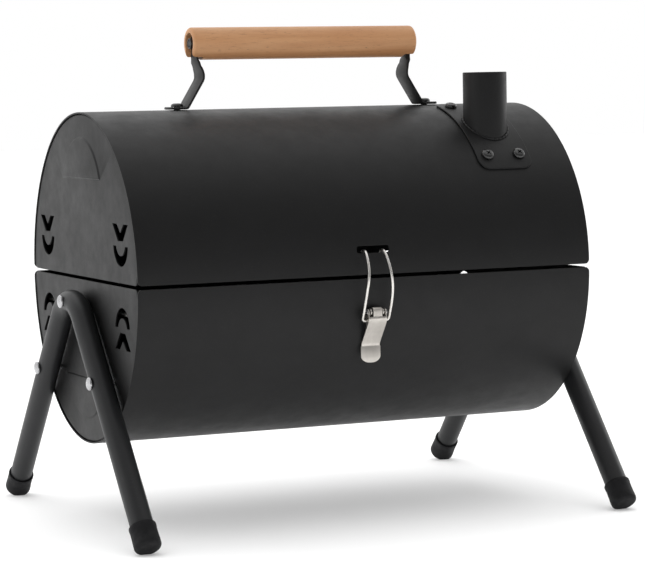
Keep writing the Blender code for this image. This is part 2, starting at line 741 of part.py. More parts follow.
def make_hinges():
    """Two butt hinges; returns the lid's pieces."""
    lid_pieces = []
    for side_name, side in (("left", -1), ("right", 1)):
        x = side * HINGE_SPACING / 2
        hinge_leaf("hinge_" + side_name + "_lower_leaf", x, -1, LOWER_AXIS_Z)
        lid_pieces.append(hinge_leaf("hinge_" + side_name + "_upper_leaf", x, 1, LID_AXIS_Z))
        profile = pin_profile(HINGE_PIN_RADIUS, HINGE_LENGTH / 2 + FIT, HINGE_PIN_HEAD, HINGE_PIN_HEAD_HEIGHT)
        name = "hinge_" + side_name + "_pin"
        pin = add_object(name, turned_mesh(name, profile, 12), NICKEL, along((1, 0, 0), (x, HINGE_Y, SEAM_HEIGHT)))
        finish(pin)
    grip = SHEET + FIT
    lift = Matrix.Translation((0, 0, FIT + HINGE_LEAF))
    for half_name, half, axis_z in (("lower", -1, LOWER_AXIS_Z), ("upper", 1, LID_AXIS_Z)):
        for place, matrix in hinge_rivet_places(half, axis_z).items():
            rivet = small_rivet("hinge_rivet_" + half_name + "_" + place, matrix @ lift,
                                grip + FIT + HINGE_LEAF, BLACK_SCREW)
            if half > 0:
                lid_pieces.append(rivet)
    return lid_pieces


# ---------------------------------------------------------------- handle

def strap_path():
    """Centre line (x, z) and half widths of the right strap, from foot tip to eye."""
    foot_z = LID_CREST_Z + FIT + STRAP / 2
    eye_z = HANDLE_Z
    wide = STRAP_WIDTH / 2
    neck = STRAP_NECK_WIDTH / 2
    foot_in = STRAP_EYE_X + STRAP_HEEL
    elbow_x = STRAP_EYE_X - STRAP_ELBOW
    elbow_z = eye_z - STRAP_ELBOW_DROP
    toe_x = STRAP_FOOT_SCREW + STRAP_TOE
    path = [(toe_x, foot_z + 0.0009), (toe_x - 0.0030, foot_z), (foot_in + 0.0010, foot_z),
            (foot_in - 0.0004, foot_z + 0.0010), (elbow_x + 0.0008, elbow_z - 0.0025), (elbow_x, elbow_z),
            (elbow_x + 0.0002, eye_z - 0.0220),
            (elbow_x + 0.0014, eye_z - 0.0180), (elbow_x + 0.0027, eye_z - 0.0145),
            (elbow_x + 0.0034, eye_z - 0.0115), (STRAP_EYE_X, eye_z - 0.0080)]
    widths = [wide - 0.0025, wide, wide, wide, wide, wide, wide, wide - 0.0006, wide - 0.0028, neck, neck]
    for i in range(7):
        height = -STRAP_EYE_RADIUS * math.cos(math.radians(35 + 145 * i / 6.4))
        path.append((STRAP_EYE_X, eye_z + height))
        widths.append(math.sqrt(STRAP_EYE_RADIUS ** 2 - height ** 2))
    return path, widths


def make_handle():
    """Two straps on the lid's crest, a wooden grip on a through rod, and their fasteners."""
    made = []
    eye_z = HANDLE_Z
    crest = LID_CREST_Z
    path, widths = strap_path()
    for side_name, side in (("left", -1), ("right", 1)):
        name = "handle_bracket_" + side_name
        strap = add_object(name, strip_mesh(name, [(side * x, z) for x, z in path], widths, 'Y'), BLACK_SHEET)
        solidify(strap, STRAP)
        holes = [(along((1, 0, 0), (side * STRAP_EYE_X, 0, eye_z)), ROD_RADIUS + FIT, DRILL / 2),
                 (along((0, 0, 1), (side * STRAP_FOOT_SCREW, 0, crest)), SCREW_SHANK + FIT, DRILL)]
        boolean(strap, add_cutter(name + "_holes", cylinders_mesh(name, holes, 14)))
        made.append(finish(strap))
        top = Matrix.Translation((side * STRAP_FOOT_SCREW, 0, crest + FIT + STRAP))
        length = STRAP + SHEET + 2 * FIT + NUT_HEIGHT + SCREW_POINT
        made.append(pan_screw("handle_screw_" + side_name, top, length))
        below = Matrix.Translation((side * STRAP_FOOT_SCREW, 0, crest - SHEET - 2 * FIT))
        made.append(hex_nut("handle_screw_nut_" + side_name, below, SCREW_SHANK + FIT))
        outside = along((-side, 0, 0), (side * (STRAP_EYE_X + STRAP / 2 + FIT), 0, eye_z))
        made.append(hex_nut("handle_rod_nut_" + side_name, outside, ROD_RADIUS + FIT))
    half = HANDLE_LENGTH / 2
    rod_half = STRAP_EYE_X + STRAP / 2 + FIT + NUT_HEIGHT
    profile = [(0.0, rod_half), (ROD_RADIUS - 0.0004, rod_half), (ROD_RADIUS, rod_half - 0.0004),
               (ROD_RADIUS, 0.0004 - rod_half), (ROD_RADIUS - 0.0004, -rod_half), (0.0, -rod_half)]
    centre = along((1, 0, 0), (0, 0, eye_z))
    made.append(finish(add_object("handle_rod", turned_mesh("handle_rod", profile, 12), NICKEL, centre)))
    r = HANDLE_ROUND
    rounding = arc((HANDLE_RADIUS - r, half - r), r, 90.0, 0.0, 3)
    profile = rounding + [(radius, -height) for radius, height in reversed(rounding)]
    profile += [(HANDLE_BORE, -half), (HANDLE_BORE, half)]
    grip = add_object("handle_grip", turned_mesh("handle_grip", profile, 24, closed=True), WOOD, centre)
    for side_name, side in (("left", -1), ("right", 1)):
        size = (2 * HANDLE_NOTCH_DEPTH, HANDLE_NOTCH_WIDTH, HANDLE_RADIUS + 0.002)
        place = Matrix.Translation((side * half, 0, eye_z - size[2] / 2))
        boolean(grip, add_cutter("handle_notch_" + side_name, box_mesh("handle_notch", size), place))
    made.append(finish(grip))
    return made


# ---------------------------------------------------------------- chimney

def chimney_centre_theta():
    return math.degrees(math.asin(-CHIMNEY_Y / BARREL_RADIUS))


def saddle_screw_matrices(radius):
    """Places of the four saddle screws, local Z outwards."""
    centre = chimney_centre_theta()
    places = {}
    for row_name, row in (("upper", -1), ("lower", 1)):
        for side_name, side in (("left", -1), ("right", 1)):
            places[row_name + "_" + side_name] = on_barrel(
                CHIMNEY_X + side * SADDLE_SCREW_X / 2, centre + row * SADDLE_SCREW_SPAN / 2, radius, LID_AXIS_Z)
    return places


def make_chimney():
    """A plain flue tube on a curved saddle plate, screwed to the lid."""
    made = []
    inner_radius = BARREL_RADIUS + FIT
    outer_radius = inner_radius + SHEET
    centre = chimney_centre_theta()
    bm = bmesh.new()
    ends = [bm.verts.new((sign * SADDLE_WIDTH, 0.0, outer_radius - SHEET / 2)) for sign in (-1, 1)]
    bm.edges.new(ends)
    start = math.radians(centre - SADDLE_SPAN / 2 - 6.0)
    matrix = Matrix.Translation((CHIMNEY_X, 0, LID_AXIS_Z)) @ Matrix.Rotation(start, 4, 'X')
    saddle = add_object("chimney_saddle", mesh_from(bm, "chimney_saddle"), BLACK_SHEET, matrix)
    add_screw(saddle, 'X', SADDLE_SPAN + 12.0, 20)
    solidify(saddle, SHEET)
    chord = 2 * outer_radius * math.sin(math.radians(SADDLE_SPAN / 2))
    outline = rounded_rectangle((0.0, 0.0), SADDLE_WIDTH, chord, SADDLE_CORNER, 6)
    window = plate_mesh("saddle_outline", [outline], 0.060)
    boolean(saddle, add_cutter("saddle_outline", window,
                               saddle_frame(centre, outer_radius)), 'INTERSECT')
    holes = [(place, SCREW_SHANK + FIT, DRILL) for place in saddle_screw_matrices(outer_radius).values()]
    boolean(saddle, add_cutter("saddle_holes", cylinders_mesh("saddle_holes", holes, 12)))
    boolean(saddle, FLUE_CUTTER)
    made.append(finish(saddle))
    top = LID_CREST_Z + CHIMNEY_RISE
    front_edge = abs(CHIMNEY_Y) + CHIMNEY_RADIUS
    bottom = LID_AXIS_Z + math.sqrt(BARREL_RADIUS ** 2 - front_edge ** 2) - FLUE_DEPTH
    inner = CHIMNEY_RADIUS - CHIMNEY_WALL
    profile = [(CHIMNEY_RADIUS, top), (CHIMNEY_RADIUS, bottom), (inner, bottom), (inner, top)]
    tube = add_object("chimney_tube", turned_mesh("chimney_tube", profile, 28, closed=True), BLACK_SHEET,
                      Matrix.Translation((CHIMNEY_X, CHIMNEY_Y, 0.0)))
    base = cylinders_mesh("flue_base", [(along((1, 0, 0), (CHIMNEY_X, 0, LID_AXIS_Z)),
                                         outer_radius + FIT, 4 * CHIMNEY_RADIUS)], 2 * ARC_STEPS)
    boolean(tube, add_cutter("flue_base", base))
    made.append(finish(tube))
    for place, matrix in saddle_screw_matrices(outer_radius).items():
        length = 2 * SHEET + 2 * FIT + NUT_HEIGHT + SCREW_POINT
        made.append(pan_screw("chimney_screw_" + place, matrix, length))
    return made


def saddle_frame(theta, radius):
    """Local Z outwards at the saddle's middle and local X along the barrel."""
    angle = math.radians(theta)
    outwards = Vector((0.0, -math.sin(angle), math.cos(angle)))
    upwards = Vector((0.0, math.cos(angle), math.sin(angle)))
    matrix = Matrix((Vector((1, 0, 0)), upwards, outwards)).transposed().to_4x4()
    return Matrix.Translation(Vector((CHIMNEY_X, 0, LID_AXIS_Z)) + radius * outwards) @ matrix


# ---------------------------------------------------------------- latch

def side_plate(name, outline, holes, x):
    """A flat plate standing in the YZ plane at x; outline and holes are (y, z)."""
    mesh = plate_mesh(name, [outline] + holes, LATCH_PLATE)
    stand = Matrix(((0, 0, 1, x), (1, 0, 0, 0), (0, 1, 0, 0), (0, 0, 0, 1)))
    return add_cutter(name, mesh, stand)


def latch_rivet_holes():
    return [(on_barrel(LATCH_X, theta_at(drop), BARREL_RADIUS, LOWER_AXIS_Z), SMALL_RIVET_SHANK + FIT, DRILL)
            for drop in LATCH_RIVET_DROPS.values()]


def make_latch_base():
    """A riveted plate with two ears that carry the lever's pin."""
    radius = BARREL_RADIUS + FIT + LATCH_PLATE / 2
    path = []
    for i in range(6):
        drop = LATCH_PLATE_DROP + LATCH_PLATE_HEIGHT * i / 5
        angle = math.radians(theta_at(drop - SEAM_GAP / 2))
        path.append((-radius * math.sin(angle), LOWER_AXIS_Z + radius * math.cos(angle)))
    half_width = LATCH_EAR_IN + LATCH_PLATE
    base = add_object("latch_base", strip_mesh("latch_base", path, [half_width] * 6, 'X'), NICKEL,
                      Matrix.Translation((LATCH_X, 0, 0)))
    solidify(base, LATCH_PLATE)
    fulcrum = (LATCH_FULCRUM_Y, LATCH_FULCRUM_Z)
    foot_top = path[0]
    foot_low = path[3]
    ear = arc(fulcrum, LATCH_EAR_RADIUS, 20.0, 215.0, 10) + [foot_low, foot_top]
    bore = circle(fulcrum, LATCH_PIN_RADIUS + FIT, 12)
    for side_name, side in (("left", -1), ("right", 1)):
        x = LATCH_X + side * (LATCH_EAR_IN + LATCH_PLATE / 2)
        boolean(base, side_plate("latch_ear_" + side_name, ear, [bore], x), 'UNION')
    boolean(base, add_cutter("latch_base_holes", cylinders_mesh("latch_base_holes", latch_rivet_holes(), 12)))
    finish(base)
    for place, drop in LATCH_RIVET_DROPS.items():
        matrix = on_barrel(LATCH_X, theta_at(drop), BARREL_RADIUS + FIT + LATCH_PLATE, LOWER_AXIS_Z)
        small_rivet("latch_base_rivet_" + place, matrix, LATCH_PLATE + SHEET + 2 * FIT, NICKEL)
    profile = pin_profile(LATCH_PIN_RADIUS, LEVER_HALF_WIDTH + FIT, PIN_HEAD, PIN_HEAD)
    matrix = along((1, 0, 0), (LATCH_X, *fulcrum))
    finish(add_object("latch_pin", turned_mesh("latch_pin", profile, 12), NICKEL, matrix))


def make_latch_lever():
    """Lever: a web with a neck and a finger tongue, and two flanges on the pin."""
    y, z = LATCH_FULCRUM_Y, LATCH_FULCRUM_Z
    web_y, shoulder_z = y - LEVER_WEB_OUT, z - LEVER_SHOULDER_DROP
    knee = (web_y + 0.0002, z - LEVER_KNEE_DROP)
    tongue_y, tongue_z = LEVER_TONGUE_Y, LEVER_TONGUE_Z
    hook = [(y - 0.0006, z + 0.0031), (y - 0.0018, z + 0.0028), (y - 0.0026, z + 0.0018), (web_y, shoulder_z + FIT)]
    slope = [(web_y, shoulder_z), knee, (tongue_y - 0.0008, tongue_z + 0.0012)]
    straight_z = z - LEVER_TIP_DROP + LEVER_TIP_ROUND
    tongue = [(tongue_y, tongue_z - 0.0004), (tongue_y, straight_z)]
    body, neck, wide = LEVER_HALF_WIDTH, LEVER_NECK_HALF_WIDTH, LEVER_TONGUE_HALF_WIDTH
    widths = [neck] * len(hook) + [body] * len(slope) + [wide] * len(tongue)
    for degrees in (30, 55, 75):
        angle = math.radians(degrees)
        tongue.append((tongue_y, straight_z - LEVER_TIP_ROUND * math.sin(angle)))
        widths.append(wide * math.cos(angle))
    path = hook + slope + tongue
    lever = add_object("latch_lever", strip_mesh("latch_lever", path, widths, 'X'), NICKEL,
                       Matrix.Translation((LATCH_X, 0, 0)))
    solidify(lever, LATCH_PLATE)
    bail = (BAIL_PIVOT_Y, BAIL_PIVOT_Z)
    share = (LEVER_FLANGE_DROP - LEVER_KNEE_DROP) / (LEVER_TONGUE_DROP - LEVER_KNEE_DROP)
    foot = (knee[0] + share * (tongue_y - knee[0]), z - LEVER_FLANGE_DROP)
    flange = arc((y, z), LEVER_EYE_RADIUS, 0.0, 180.0, 8) + [(web_y, shoulder_z), knee, foot]
    flange += arc(bail, LEVER_EYE_RADIUS, -50.0, 20.0, 4)
    holes = [circle((y, z), LATCH_PIN_RADIUS + FIT, 12), circle(bail, BAIL_WIRE_RADIUS + FIT, 12)]
    for side_name, side in (("left", -1), ("right", 1)):
        x = LATCH_X + side * (LEVER_FLANGE_IN + LATCH_PLATE / 2)
        boolean(lever, side_plate("lever_flange_" + side_name, flange, holes, x), 'UNION')
    return finish(lever)


def smooth_route(points, per_span):
    """Catmull-Rom curve through points, ends included."""
    padded = [points[0]] + points + [points[-1]]
    route = []
    for a, b, c, d in zip(padded, padded[1:], padded[2:], padded[3:]):
        a, b, c, d = Vector(a), Vector(b), Vector(c), Vector(d)
        for i in range(per_span):
            t = i / per_span
            route.append(0.5 * (2 * b + (c - a) * t + (2 * a - 5 * b + 4 * c - d) * t * t
                                + (3 * b - a - 3 * c + d) * t ** 3))
    route.append(Vector(points[-1]))
    return route


def make_bail():
    """Sprung wire bail: bowed sides, ends turned in through the lever, top bar in the lid's slot."""
    bar_z = SEAM_HEIGHT + LATCH_SLOT_BOTTOM + 2 * FIT + BAIL_WIRE_RADIUS
    inner = math.sqrt(BARREL_INSIDE ** 2 - (bar_z - LID_AXIS_Z) ** 2)
    bar_y = -(inner - BAIL_WIRE_RADIUS - FIT)
    end_x = LEVER_FLANGE_IN - 2 * FIT
    y, z = BAIL_PIVOT_Y, BAIL_PIVOT_Z
    rise = bar_z - z
    side = [(end_x, y, z), (0.0086, y, z), (0.0101, y - 0.0003, z + 0.0010),
            (0.0103, y - 0.0018, z + 0.08 * rise), (0.0103, y - 0.0055, z + 0.25 * rise),
            (0.0100, y - 0.0085, z + 0.43 * rise), (0.0092, y - 0.0098, z + 0.59 * rise),
            (0.0084, y - 0.0086, z + 0.75 * rise), (0.0078, y - 0.0048, z + 0.90 * rise),
            (0.0074, y - 0.0010, z + 0.985 * rise), (0.0073, y + 0.0018, bar_z), (0.0068, bar_y, bar_z),
            (0.0050, bar_y, bar_z)]
    points = side + [(-px, py, pz) for px, py, pz in reversed(side)]
    route = smooth_route([(LATCH_X + px, py, pz) for px, py, pz in points], 2)
    return finish(add_object("latch_bail", wire_mesh("latch_bail", route, BAIL_WIRE_RADIUS), NICKEL))


def make_slot_cutter():
    """The slot in the lid's front that takes the bail's top bar."""
    outline = rounded_rectangle((0.0, 0.0), LATCH_SLOT_WIDTH, LATCH_SLOT_HEIGHT,
                                LATCH_SLOT_CORNER, 4)
    centre_z = SEAM_HEIGHT + LATCH_SLOT_BOTTOM + LATCH_SLOT_HEIGHT / 2
    matrix = Matrix.Translation((LATCH_X, -BARREL_RADIUS, centre_z)) @ Matrix.Rotation(math.radians(90), 4, 'X')
    return add_cutter("latch_slot", plate_mesh("latch_slot", [outline], 0.020), matrix)


# ---------------------------------------------------------------- assembly

def make_lid():
    """The lid half and all that moves with it."""
    shell = half_shell("lid_shell", 1, LID_AXIS_Z)
    holes = [(matrix, SCREW_SHANK + FIT, DRILL) for matrix in saddle_screw_matrices(BARREL_RADIUS).values()]
    for sign in (-1, 1):
        place = Matrix.Translation((sign * STRAP_FOOT_SCREW, 0, LID_CREST_Z))
        holes.append((place, SCREW_SHANK + FIT, DRILL))
    for matrix in hinge_rivet_places(1, LID_AXIS_Z).values():
        holes.append((matrix, SMALL_RIVET_SHANK + FIT, DRILL))
    boolean(shell, add_cutter("lid_holes", cylinders_mesh("lid_holes", holes, 12)))
    boolean(shell, FLUE_CUTTER)
    boolean(shell, make_slot_cutter())
    pieces = [finish(shell)]
    for side_name, side in (("left", -1), ("right", 1)):
        pieces.append(end_panel("lid_end_" + side_name, side, 1, LID_AXIS_Z, LID_VENT_SHIFT, []))
    return pieces + make_handle() + make_chimney()


def make_lower(leg_rivets):
    """The fixed half."""
    shell = half_shell("lower_shell", -1, LOWER_AXIS_Z)
    holes = [(matrix, SMALL_RIVET_SHANK + FIT, DRILL) for matrix in hinge_rivet_places(-1, LOWER_AXIS_Z).values()]
    holes += latch_rivet_holes()
    boolean(shell, add_cutter("lower_holes", cylinders_mesh("lower_holes", holes, 12)))
    finish(shell)
    holes = [(y, LOWER_AXIS_Z - z) for y, z in leg_rivets.values()]
    for side_name, side in (("left", -1), ("right", 1)):
        end_panel("lower_end_" + side_name, side, -1, LOWER_AXIS_Z, LOWER_VENT_SHIFT, holes)
    make_rests()


clear_scene()
PARTS = new_collection("barrel_charcoal_grill")
CUTTERS = new_collection("cutters")

BLACK_SHEET = new_material("black_powder_coat", (0.022, 0.022, 0.022), 0.55, 0.0)
BLACK_TUBE = new_material("black_tube_coat", (0.024, 0.025, 0.027), 0.42, 0.0)
BLACK_SCREW = new_material("black_screw", (0.020, 0.020, 0.021), 0.30, 0.6)
CHROME = new_material("chrome", (0.75, 0.75, 0.76), 0.15, 1.0)
NICKEL = new_material("nickel_plate", (0.62, 0.59, 0.55), 0.28, 1.0)
STEEL_WIRE = new_material("steel_wire", (0.50, 0.50, 0.50), 0.35, 1.0)
RUBBER = new_material("black_rubber", (0.020, 0.020, 0.020), 0.75, 0.0)
WOOD = new_material("beech_wood", (0.50, 0.28, 0.14), 0.50, 0.0)

TABLE_CUTTER = add_cutter("table_cutter", box_mesh("table_cutter", (1.0, 1.0, 0.04)),
                          Matrix.Translation((0, 0, -0.02)))
FLUE_CUTTER = add_cutter("flue_cutter", cylinders_mesh("flue_cutter", [
    (Matrix.Translation((CHIMNEY_X, CHIMNEY_Y, LID_AXIS_Z + BARREL_RADIUS)),
     CHIMNEY_RADIUS - CHIMNEY_WALL, 0.12)], 24))

rivet_points = make_legs()
make_lower(rivet_points)
lid_parts = make_lid() + make_hinges()
make_latch_base()
lid_pivot = new_pivot("lid_pivot", (0.0, HINGE_Y, SEAM_HEIGHT))
hang_on(lid_pivot, lid_parts)
lever_pivot = new_pivot("lever_pivot", (LATCH_X, LATCH_FULCRUM_Y, LATCH_FULCRUM_Z))
hang_on(lever_pivot, [make_latch_lever()])
bail_pivot = new_pivot("bail_pivot", (LATCH_X, BAIL_PIVOT_Y, BAIL_PIVOT_Z))
hang_on(bail_pivot, [make_bail()])
hang_on(lever_pivot, [bail_pivot])
make_cooking_grid()
make_charcoal_grate()
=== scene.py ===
from math import asin, atan2, copysign, cos, degrees, hypot, pi, radians, sin, sqrt

import bmesh
import bpy
from mathutils import Matrix, Vector


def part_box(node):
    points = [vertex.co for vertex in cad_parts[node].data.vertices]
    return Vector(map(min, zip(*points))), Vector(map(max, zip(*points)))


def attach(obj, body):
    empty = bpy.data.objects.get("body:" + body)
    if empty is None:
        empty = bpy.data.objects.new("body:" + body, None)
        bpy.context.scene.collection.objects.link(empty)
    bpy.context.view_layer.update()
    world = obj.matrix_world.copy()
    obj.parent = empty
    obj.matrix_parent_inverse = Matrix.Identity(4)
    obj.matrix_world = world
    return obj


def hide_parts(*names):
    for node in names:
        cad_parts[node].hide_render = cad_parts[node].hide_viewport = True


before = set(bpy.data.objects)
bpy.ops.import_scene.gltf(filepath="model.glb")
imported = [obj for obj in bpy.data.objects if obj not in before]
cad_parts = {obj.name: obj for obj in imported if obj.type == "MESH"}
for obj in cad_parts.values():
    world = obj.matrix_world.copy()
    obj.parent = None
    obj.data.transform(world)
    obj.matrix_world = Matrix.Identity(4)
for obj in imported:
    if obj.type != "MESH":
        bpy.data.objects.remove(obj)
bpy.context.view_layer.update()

# ---- sizes

shell_low, shell_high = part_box("lid_shell")
LOWER_AXIS_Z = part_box("lower_shell")[1].z
LID_AXIS_Z = shell_low.z
SEAM_Z = (LID_AXIS_Z + LOWER_AXIS_Z) / 2
BARREL_LENGTH = shell_high.x - shell_low.x
BARREL_RADIUS = (shell_high.y - shell_low.y) / 2
SHEET = 0.0012
FIT = 0.0003
SHELL_STEPS = 120
SHELL_CORNER = 0.0035
LID_CREST_Z = LID_AXIS_Z + BARREL_RADIUS
BARREL_INSIDE = BARREL_RADIUS - SHEET

END_OUTER_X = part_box("lid_end_right")[1].x
END_BEND = 0.0009
END_FLANGE = 0.010
END_EASE = 0.03
END_CORNER = 0.005
EMBOSS_RADIUS = 0.0465
EMBOSS_CENTRE = 0.0557
EMBOSS_CHORD = 0.0155
EMBOSS_RISE = 0.0010
EMBOSS_SLOPE = 0.0017
EMBOSS_RINGS = 5
VENT_Y = 0.084
VENT_SHIFT = {1: 0.0, -1: 0.0030}

leg_low, leg_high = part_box("leg_right")
LEG_TUBE_RADIUS = (leg_high.x - leg_low.x) / 2
LEG_X = (leg_low.x + leg_high.x) / 2
LEG_BEND_RADIUS = 0.032
LEG_FOOT_SPREAD = 0.3072
LEG_BEND_Z = leg_high.z - LEG_TUBE_RADIUS - LEG_BEND_RADIUS
CAP_WALL = 0.0010
CAP_LENGTH = 0.0185
CAP_FLOOR = 0.003
CAP_SOLE_CUT = 0.002
CAP_TOE = 0.0030
CAP_SHRINK = 0.0002
LEG_RIVET_HOLE = 0.0028
LEG_RIVET = {"head": 0.0048, "rise": 0.0024, "shank": 0.0025, "grip": 0.019, "rings": 10, "skirt": 0.0005}
CLENCHED_TAIL = [(0.0, 0.0), (0.0040, 0.0), (0.0040, -0.0006), (0.0034, -0.0014), (0.0, -0.0014)]

GRID_WIRE = 0.0013
GRID_CORNER = 0.006
GRID_SPACES = 20
GRATE_CORNER = 0.004
GRATE_SLOT = (0.060, 0.009)
GRATE_PITCH = (0.072, 0.021)
REST_FOLD = 0.0012

SCREW_SHANK = 0.0025
SCREW_HEAD = 0.0047
SCREW_RISE = 0.0028
SCREW_TIP = 0.0004
SCREW_CROWN = [(0.0, 1.00), (0.35, 0.99), (0.58, 0.94), (0.78, 0.83), (0.91, 0.66), (0.98, 0.44), (1.0, 0.22),
               (0.97, 0.02)]
RECESS_WIDTH = 0.0054
RECESS_ARM = 0.0012
RECESS_DEPTH = 0.0018
NUT_WIDTH = 0.008
NUT_HEIGHT = 0.0030
NUT_CHAMFER = 0.0007
SMALL_RIVET = {"head": 0.0030, "rise": 0.0012, "shank": 0.0015, "tail": 0.0024, "tail_rise": 0.0008,
               "rings": 6, "skirt": 0.0002}

grip_low, grip_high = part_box("handle_grip")
HANDLE_Z = (grip_low.z + grip_high.z) / 2
HANDLE_RADIUS = (grip_high.z - grip_low.z) / 2
HANDLE_LENGTH = grip_high.x - grip_low.x
HANDLE_BORE = 0.008
HANDLE_ROUND = 0.0022
HANDLE_MOUTH_ROUND = 0.0006
HANDLE_NOTCH_DEPTH = 0.009
HANDLE_NOTCH_WIDTH = 0.0136
STRAP = 0.0016
STRAP_WIDTH = 0.0195
STRAP_NECK_WIDTH = 0.0118
STRAP_EYE_RADIUS = 0.0066
STRAP_EYE_X = 0.0868
STRAP_FOOT_SCREW = 0.1015
STRAP_TOE = 0.0072
ROD_RADIUS = 0.0025

tube_low, tube_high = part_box("chimney_tube")
CHIMNEY_X = (tube_low.x + tube_high.x) / 2
CHIMNEY_Y = (tube_low.y + tube_high.y) / 2
CHIMNEY_RADIUS = (tube_high.x - tube_low.x) / 2
CHIMNEY_WALL = 0.0012
SADDLE_WIDTH = 0.044
SADDLE_SPAN = 45.0
SADDLE_CORNER = 0.008
SADDLE_SCREW_X = 0.026
SADDLE_SCREW_SPAN = 33.3

HINGE_Y = 0.124
HINGE_SPACING = 0.200
HINGE_LENGTH = 0.040
HINGE_KNUCKLE_RADIUS = 0.0031
HINGE_PIN_RADIUS = 0.0015
HINGE_PIN_HEAD = {"head": 0.0009, "rise": 0.0010, "crown": 0.6, "edge": 0.0006}
HINGE_LEAF = 0.0012
HINGE_LEAF_START = 0.0045
HINGE_LEAF_END = 0.022
HINGE_MIDDLE = 0.012
HINGE_RIVET_SPACING = 0.024
HINGE_RIVET_HEIGHT = 0.015

pin_low, pin_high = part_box("latch_pin")
LATCH_X = (pin_low.x + pin_high.x) / 2
LATCH_Y = (pin_low.y + pin_high.y) / 2
LATCH_Z = (pin_low.z + pin_high.z) / 2
LATCH_SLOT = (0.0254, 0.0051)
LATCH_SLOT_ROUND = 0.0018
LATCH_SLOT_Z = SEAM_Z + 0.0169
LATCH_PLATE = 0.0010
LATCH_EAR_IN = 0.0042
LATCH_EAR_RADIUS = 0.0026
LATCH_PLATE_DROP = 0.0275
LATCH_PLATE_HEIGHT = 0.0150
LATCH_RIVET_DROPS = {"upper": 0.0310, "lower": 0.0375}
LATCH_PIN_RADIUS = 0.0012
LATCH_PIN_HEAD = {"head": 0.0006, "rise": 0.0007, "crown": 0.7, "edge": 0.0004}
LEVER_FLANGE_IN = 0.0062
LEVER_HALF_WIDTH = 0.0072
LEVER_TONGUE = 0.0077
LEVER_NECK = 0.0035
LEVER_WEB_OUT = 0.0028
LEVER_SHOULDER_DROP = 0.0035
LEVER_KNEE_DROP = 0.0060
LEVER_FLANGE_DROP = 0.0128
LEVER_TONGUE_DROP = 0.0240
LEVER_TONGUE_GAP = 0.0008
LEVER_TIP_DROP = 0.0375
LEVER_TIP_ROUND = 0.0050
LEVER_EYE_RADIUS = 0.0024
BAIL_WIRE = 0.0010
BAIL_Y = LATCH_Y + 0.0012
BAIL_Z = LATCH_Z - 0.0060

CAMERA_PLACE = (-0.7590, -1.7722, 0.3140)
CAMERA_TURN = (-23.54, 4.50, -1.12)
CAMERA_LENS = 141.9
LIGHT_TARGET = (0.0, 0.0, 0.2)
SIDES = (("left", -1), ("right", 1))
MERGE = 1e-6


# ---- material helpers

class Nodes:
    """The nodes of a material or a world, with short calls for the kinds that are used here."""

    def __init__(self, owner):
        owner.use_nodes = True
        self.owner, self.tree = owner, owner.node_tree
        self.coordinates = self.add('TexCoord').outputs
        self.place = self.coordinates["Object"]

    def put(self, socket, value):
        """Link the socket to another node's output, or set its value; None leaves it alone."""
        if isinstance(value, bpy.types.NodeSocket):
            self.tree.links.new(value, socket)
        elif value is not None:
            socket.default_value = value

    def add(self, kind, **inputs):
        node = self.tree.nodes.new('ShaderNode' + kind)
        for name, value in inputs.items():
            self.put(node.inputs[name], value)
        return node

    def stretched(self, scale):
        return self.add('Mapping', Vector=self.place, Scale=scale).outputs["Vector"]

    def noise(self, scale, detail=2.0, roughness=0.5, vector=None, distortion=0.0):
        return self.add('TexNoise', Vector=vector or self.place, Scale=scale, Detail=detail,
                        Roughness=roughness, Distortion=distortion).outputs["Fac"]

    def cells(self, scale, vector):
        return self.add('TexVoronoi', Vector=vector, Scale=scale).outputs["Distance"]

    def ramp(self, value, low, high, out_low=0.0, out_high=1.0, interpolation='LINEAR'):
        node = self.add('MapRange')
        node.interpolation_type = interpolation
        for socket, number in zip(node.inputs[:5], (value, low, high, out_low, out_high)):
            self.put(socket, number)
        return node.outputs[0]

    def mix(self, factor, first, second):
        node = self.add('Mix')
        node.data_type = 'RGBA'
        for index, value in ((0, factor), (6, first), (7, second)):
            self.put(node.inputs[index], (*value, 1.0) if isinstance(value, tuple) else value)
        return node.outputs[2]

    def finish(self, colour, roughness, bumps=(), specular=0.5, metallic=0.0):
        """Wire up the shader; bumps are (height, strength, depth in metres), the coarse one first."""
        normal = None
        for height, strength, depth in bumps:
            bump = self.add('Bump', Height=height, Strength=strength, Distance=depth, Normal=normal)
            normal = bump.outputs["Normal"]
        shader = self.tree.nodes["Principled BSDF"]
        for name, value in (("Base Color", colour), ("Roughness", roughness), ("Normal", normal),
                            ("Specular IOR Level", specular), ("Metallic", metallic)):
            self.put(shader.inputs[name], value)
        return self.owner


def powder_coat(name, dark, light, rough, grain=1500.0, depth=0.00004, specular=0.5):
    """Baked black coating: fine orange peel, faint cloudy tone, patches of duller sheen."""
    nodes = Nodes(bpy.data.materials.new(name))
    tone = nodes.ramp(nodes.noise(18.0, 3.0, 0.6), 0.3, 0.7)
    fleck = nodes.ramp(nodes.noise(grain * 0.6, 1.0), 0.62, 0.78, 0.0, 0.5)
    colour = nodes.mix(fleck, nodes.mix(tone, dark, light), tuple(2.2 * c for c in light))
    sheen = nodes.ramp(nodes.noise(60.0, 4.0, 0.7), 0.3, 0.7, rough - 0.05, rough + 0.06)
    peel = nodes.noise(grain, 2.0, 0.6)
    wave = nodes.noise(grain / 12, 1.0)
    return nodes.finish(colour, sheen, [(wave, 0.25, depth * 3), (peel, 0.5, depth)], specular)


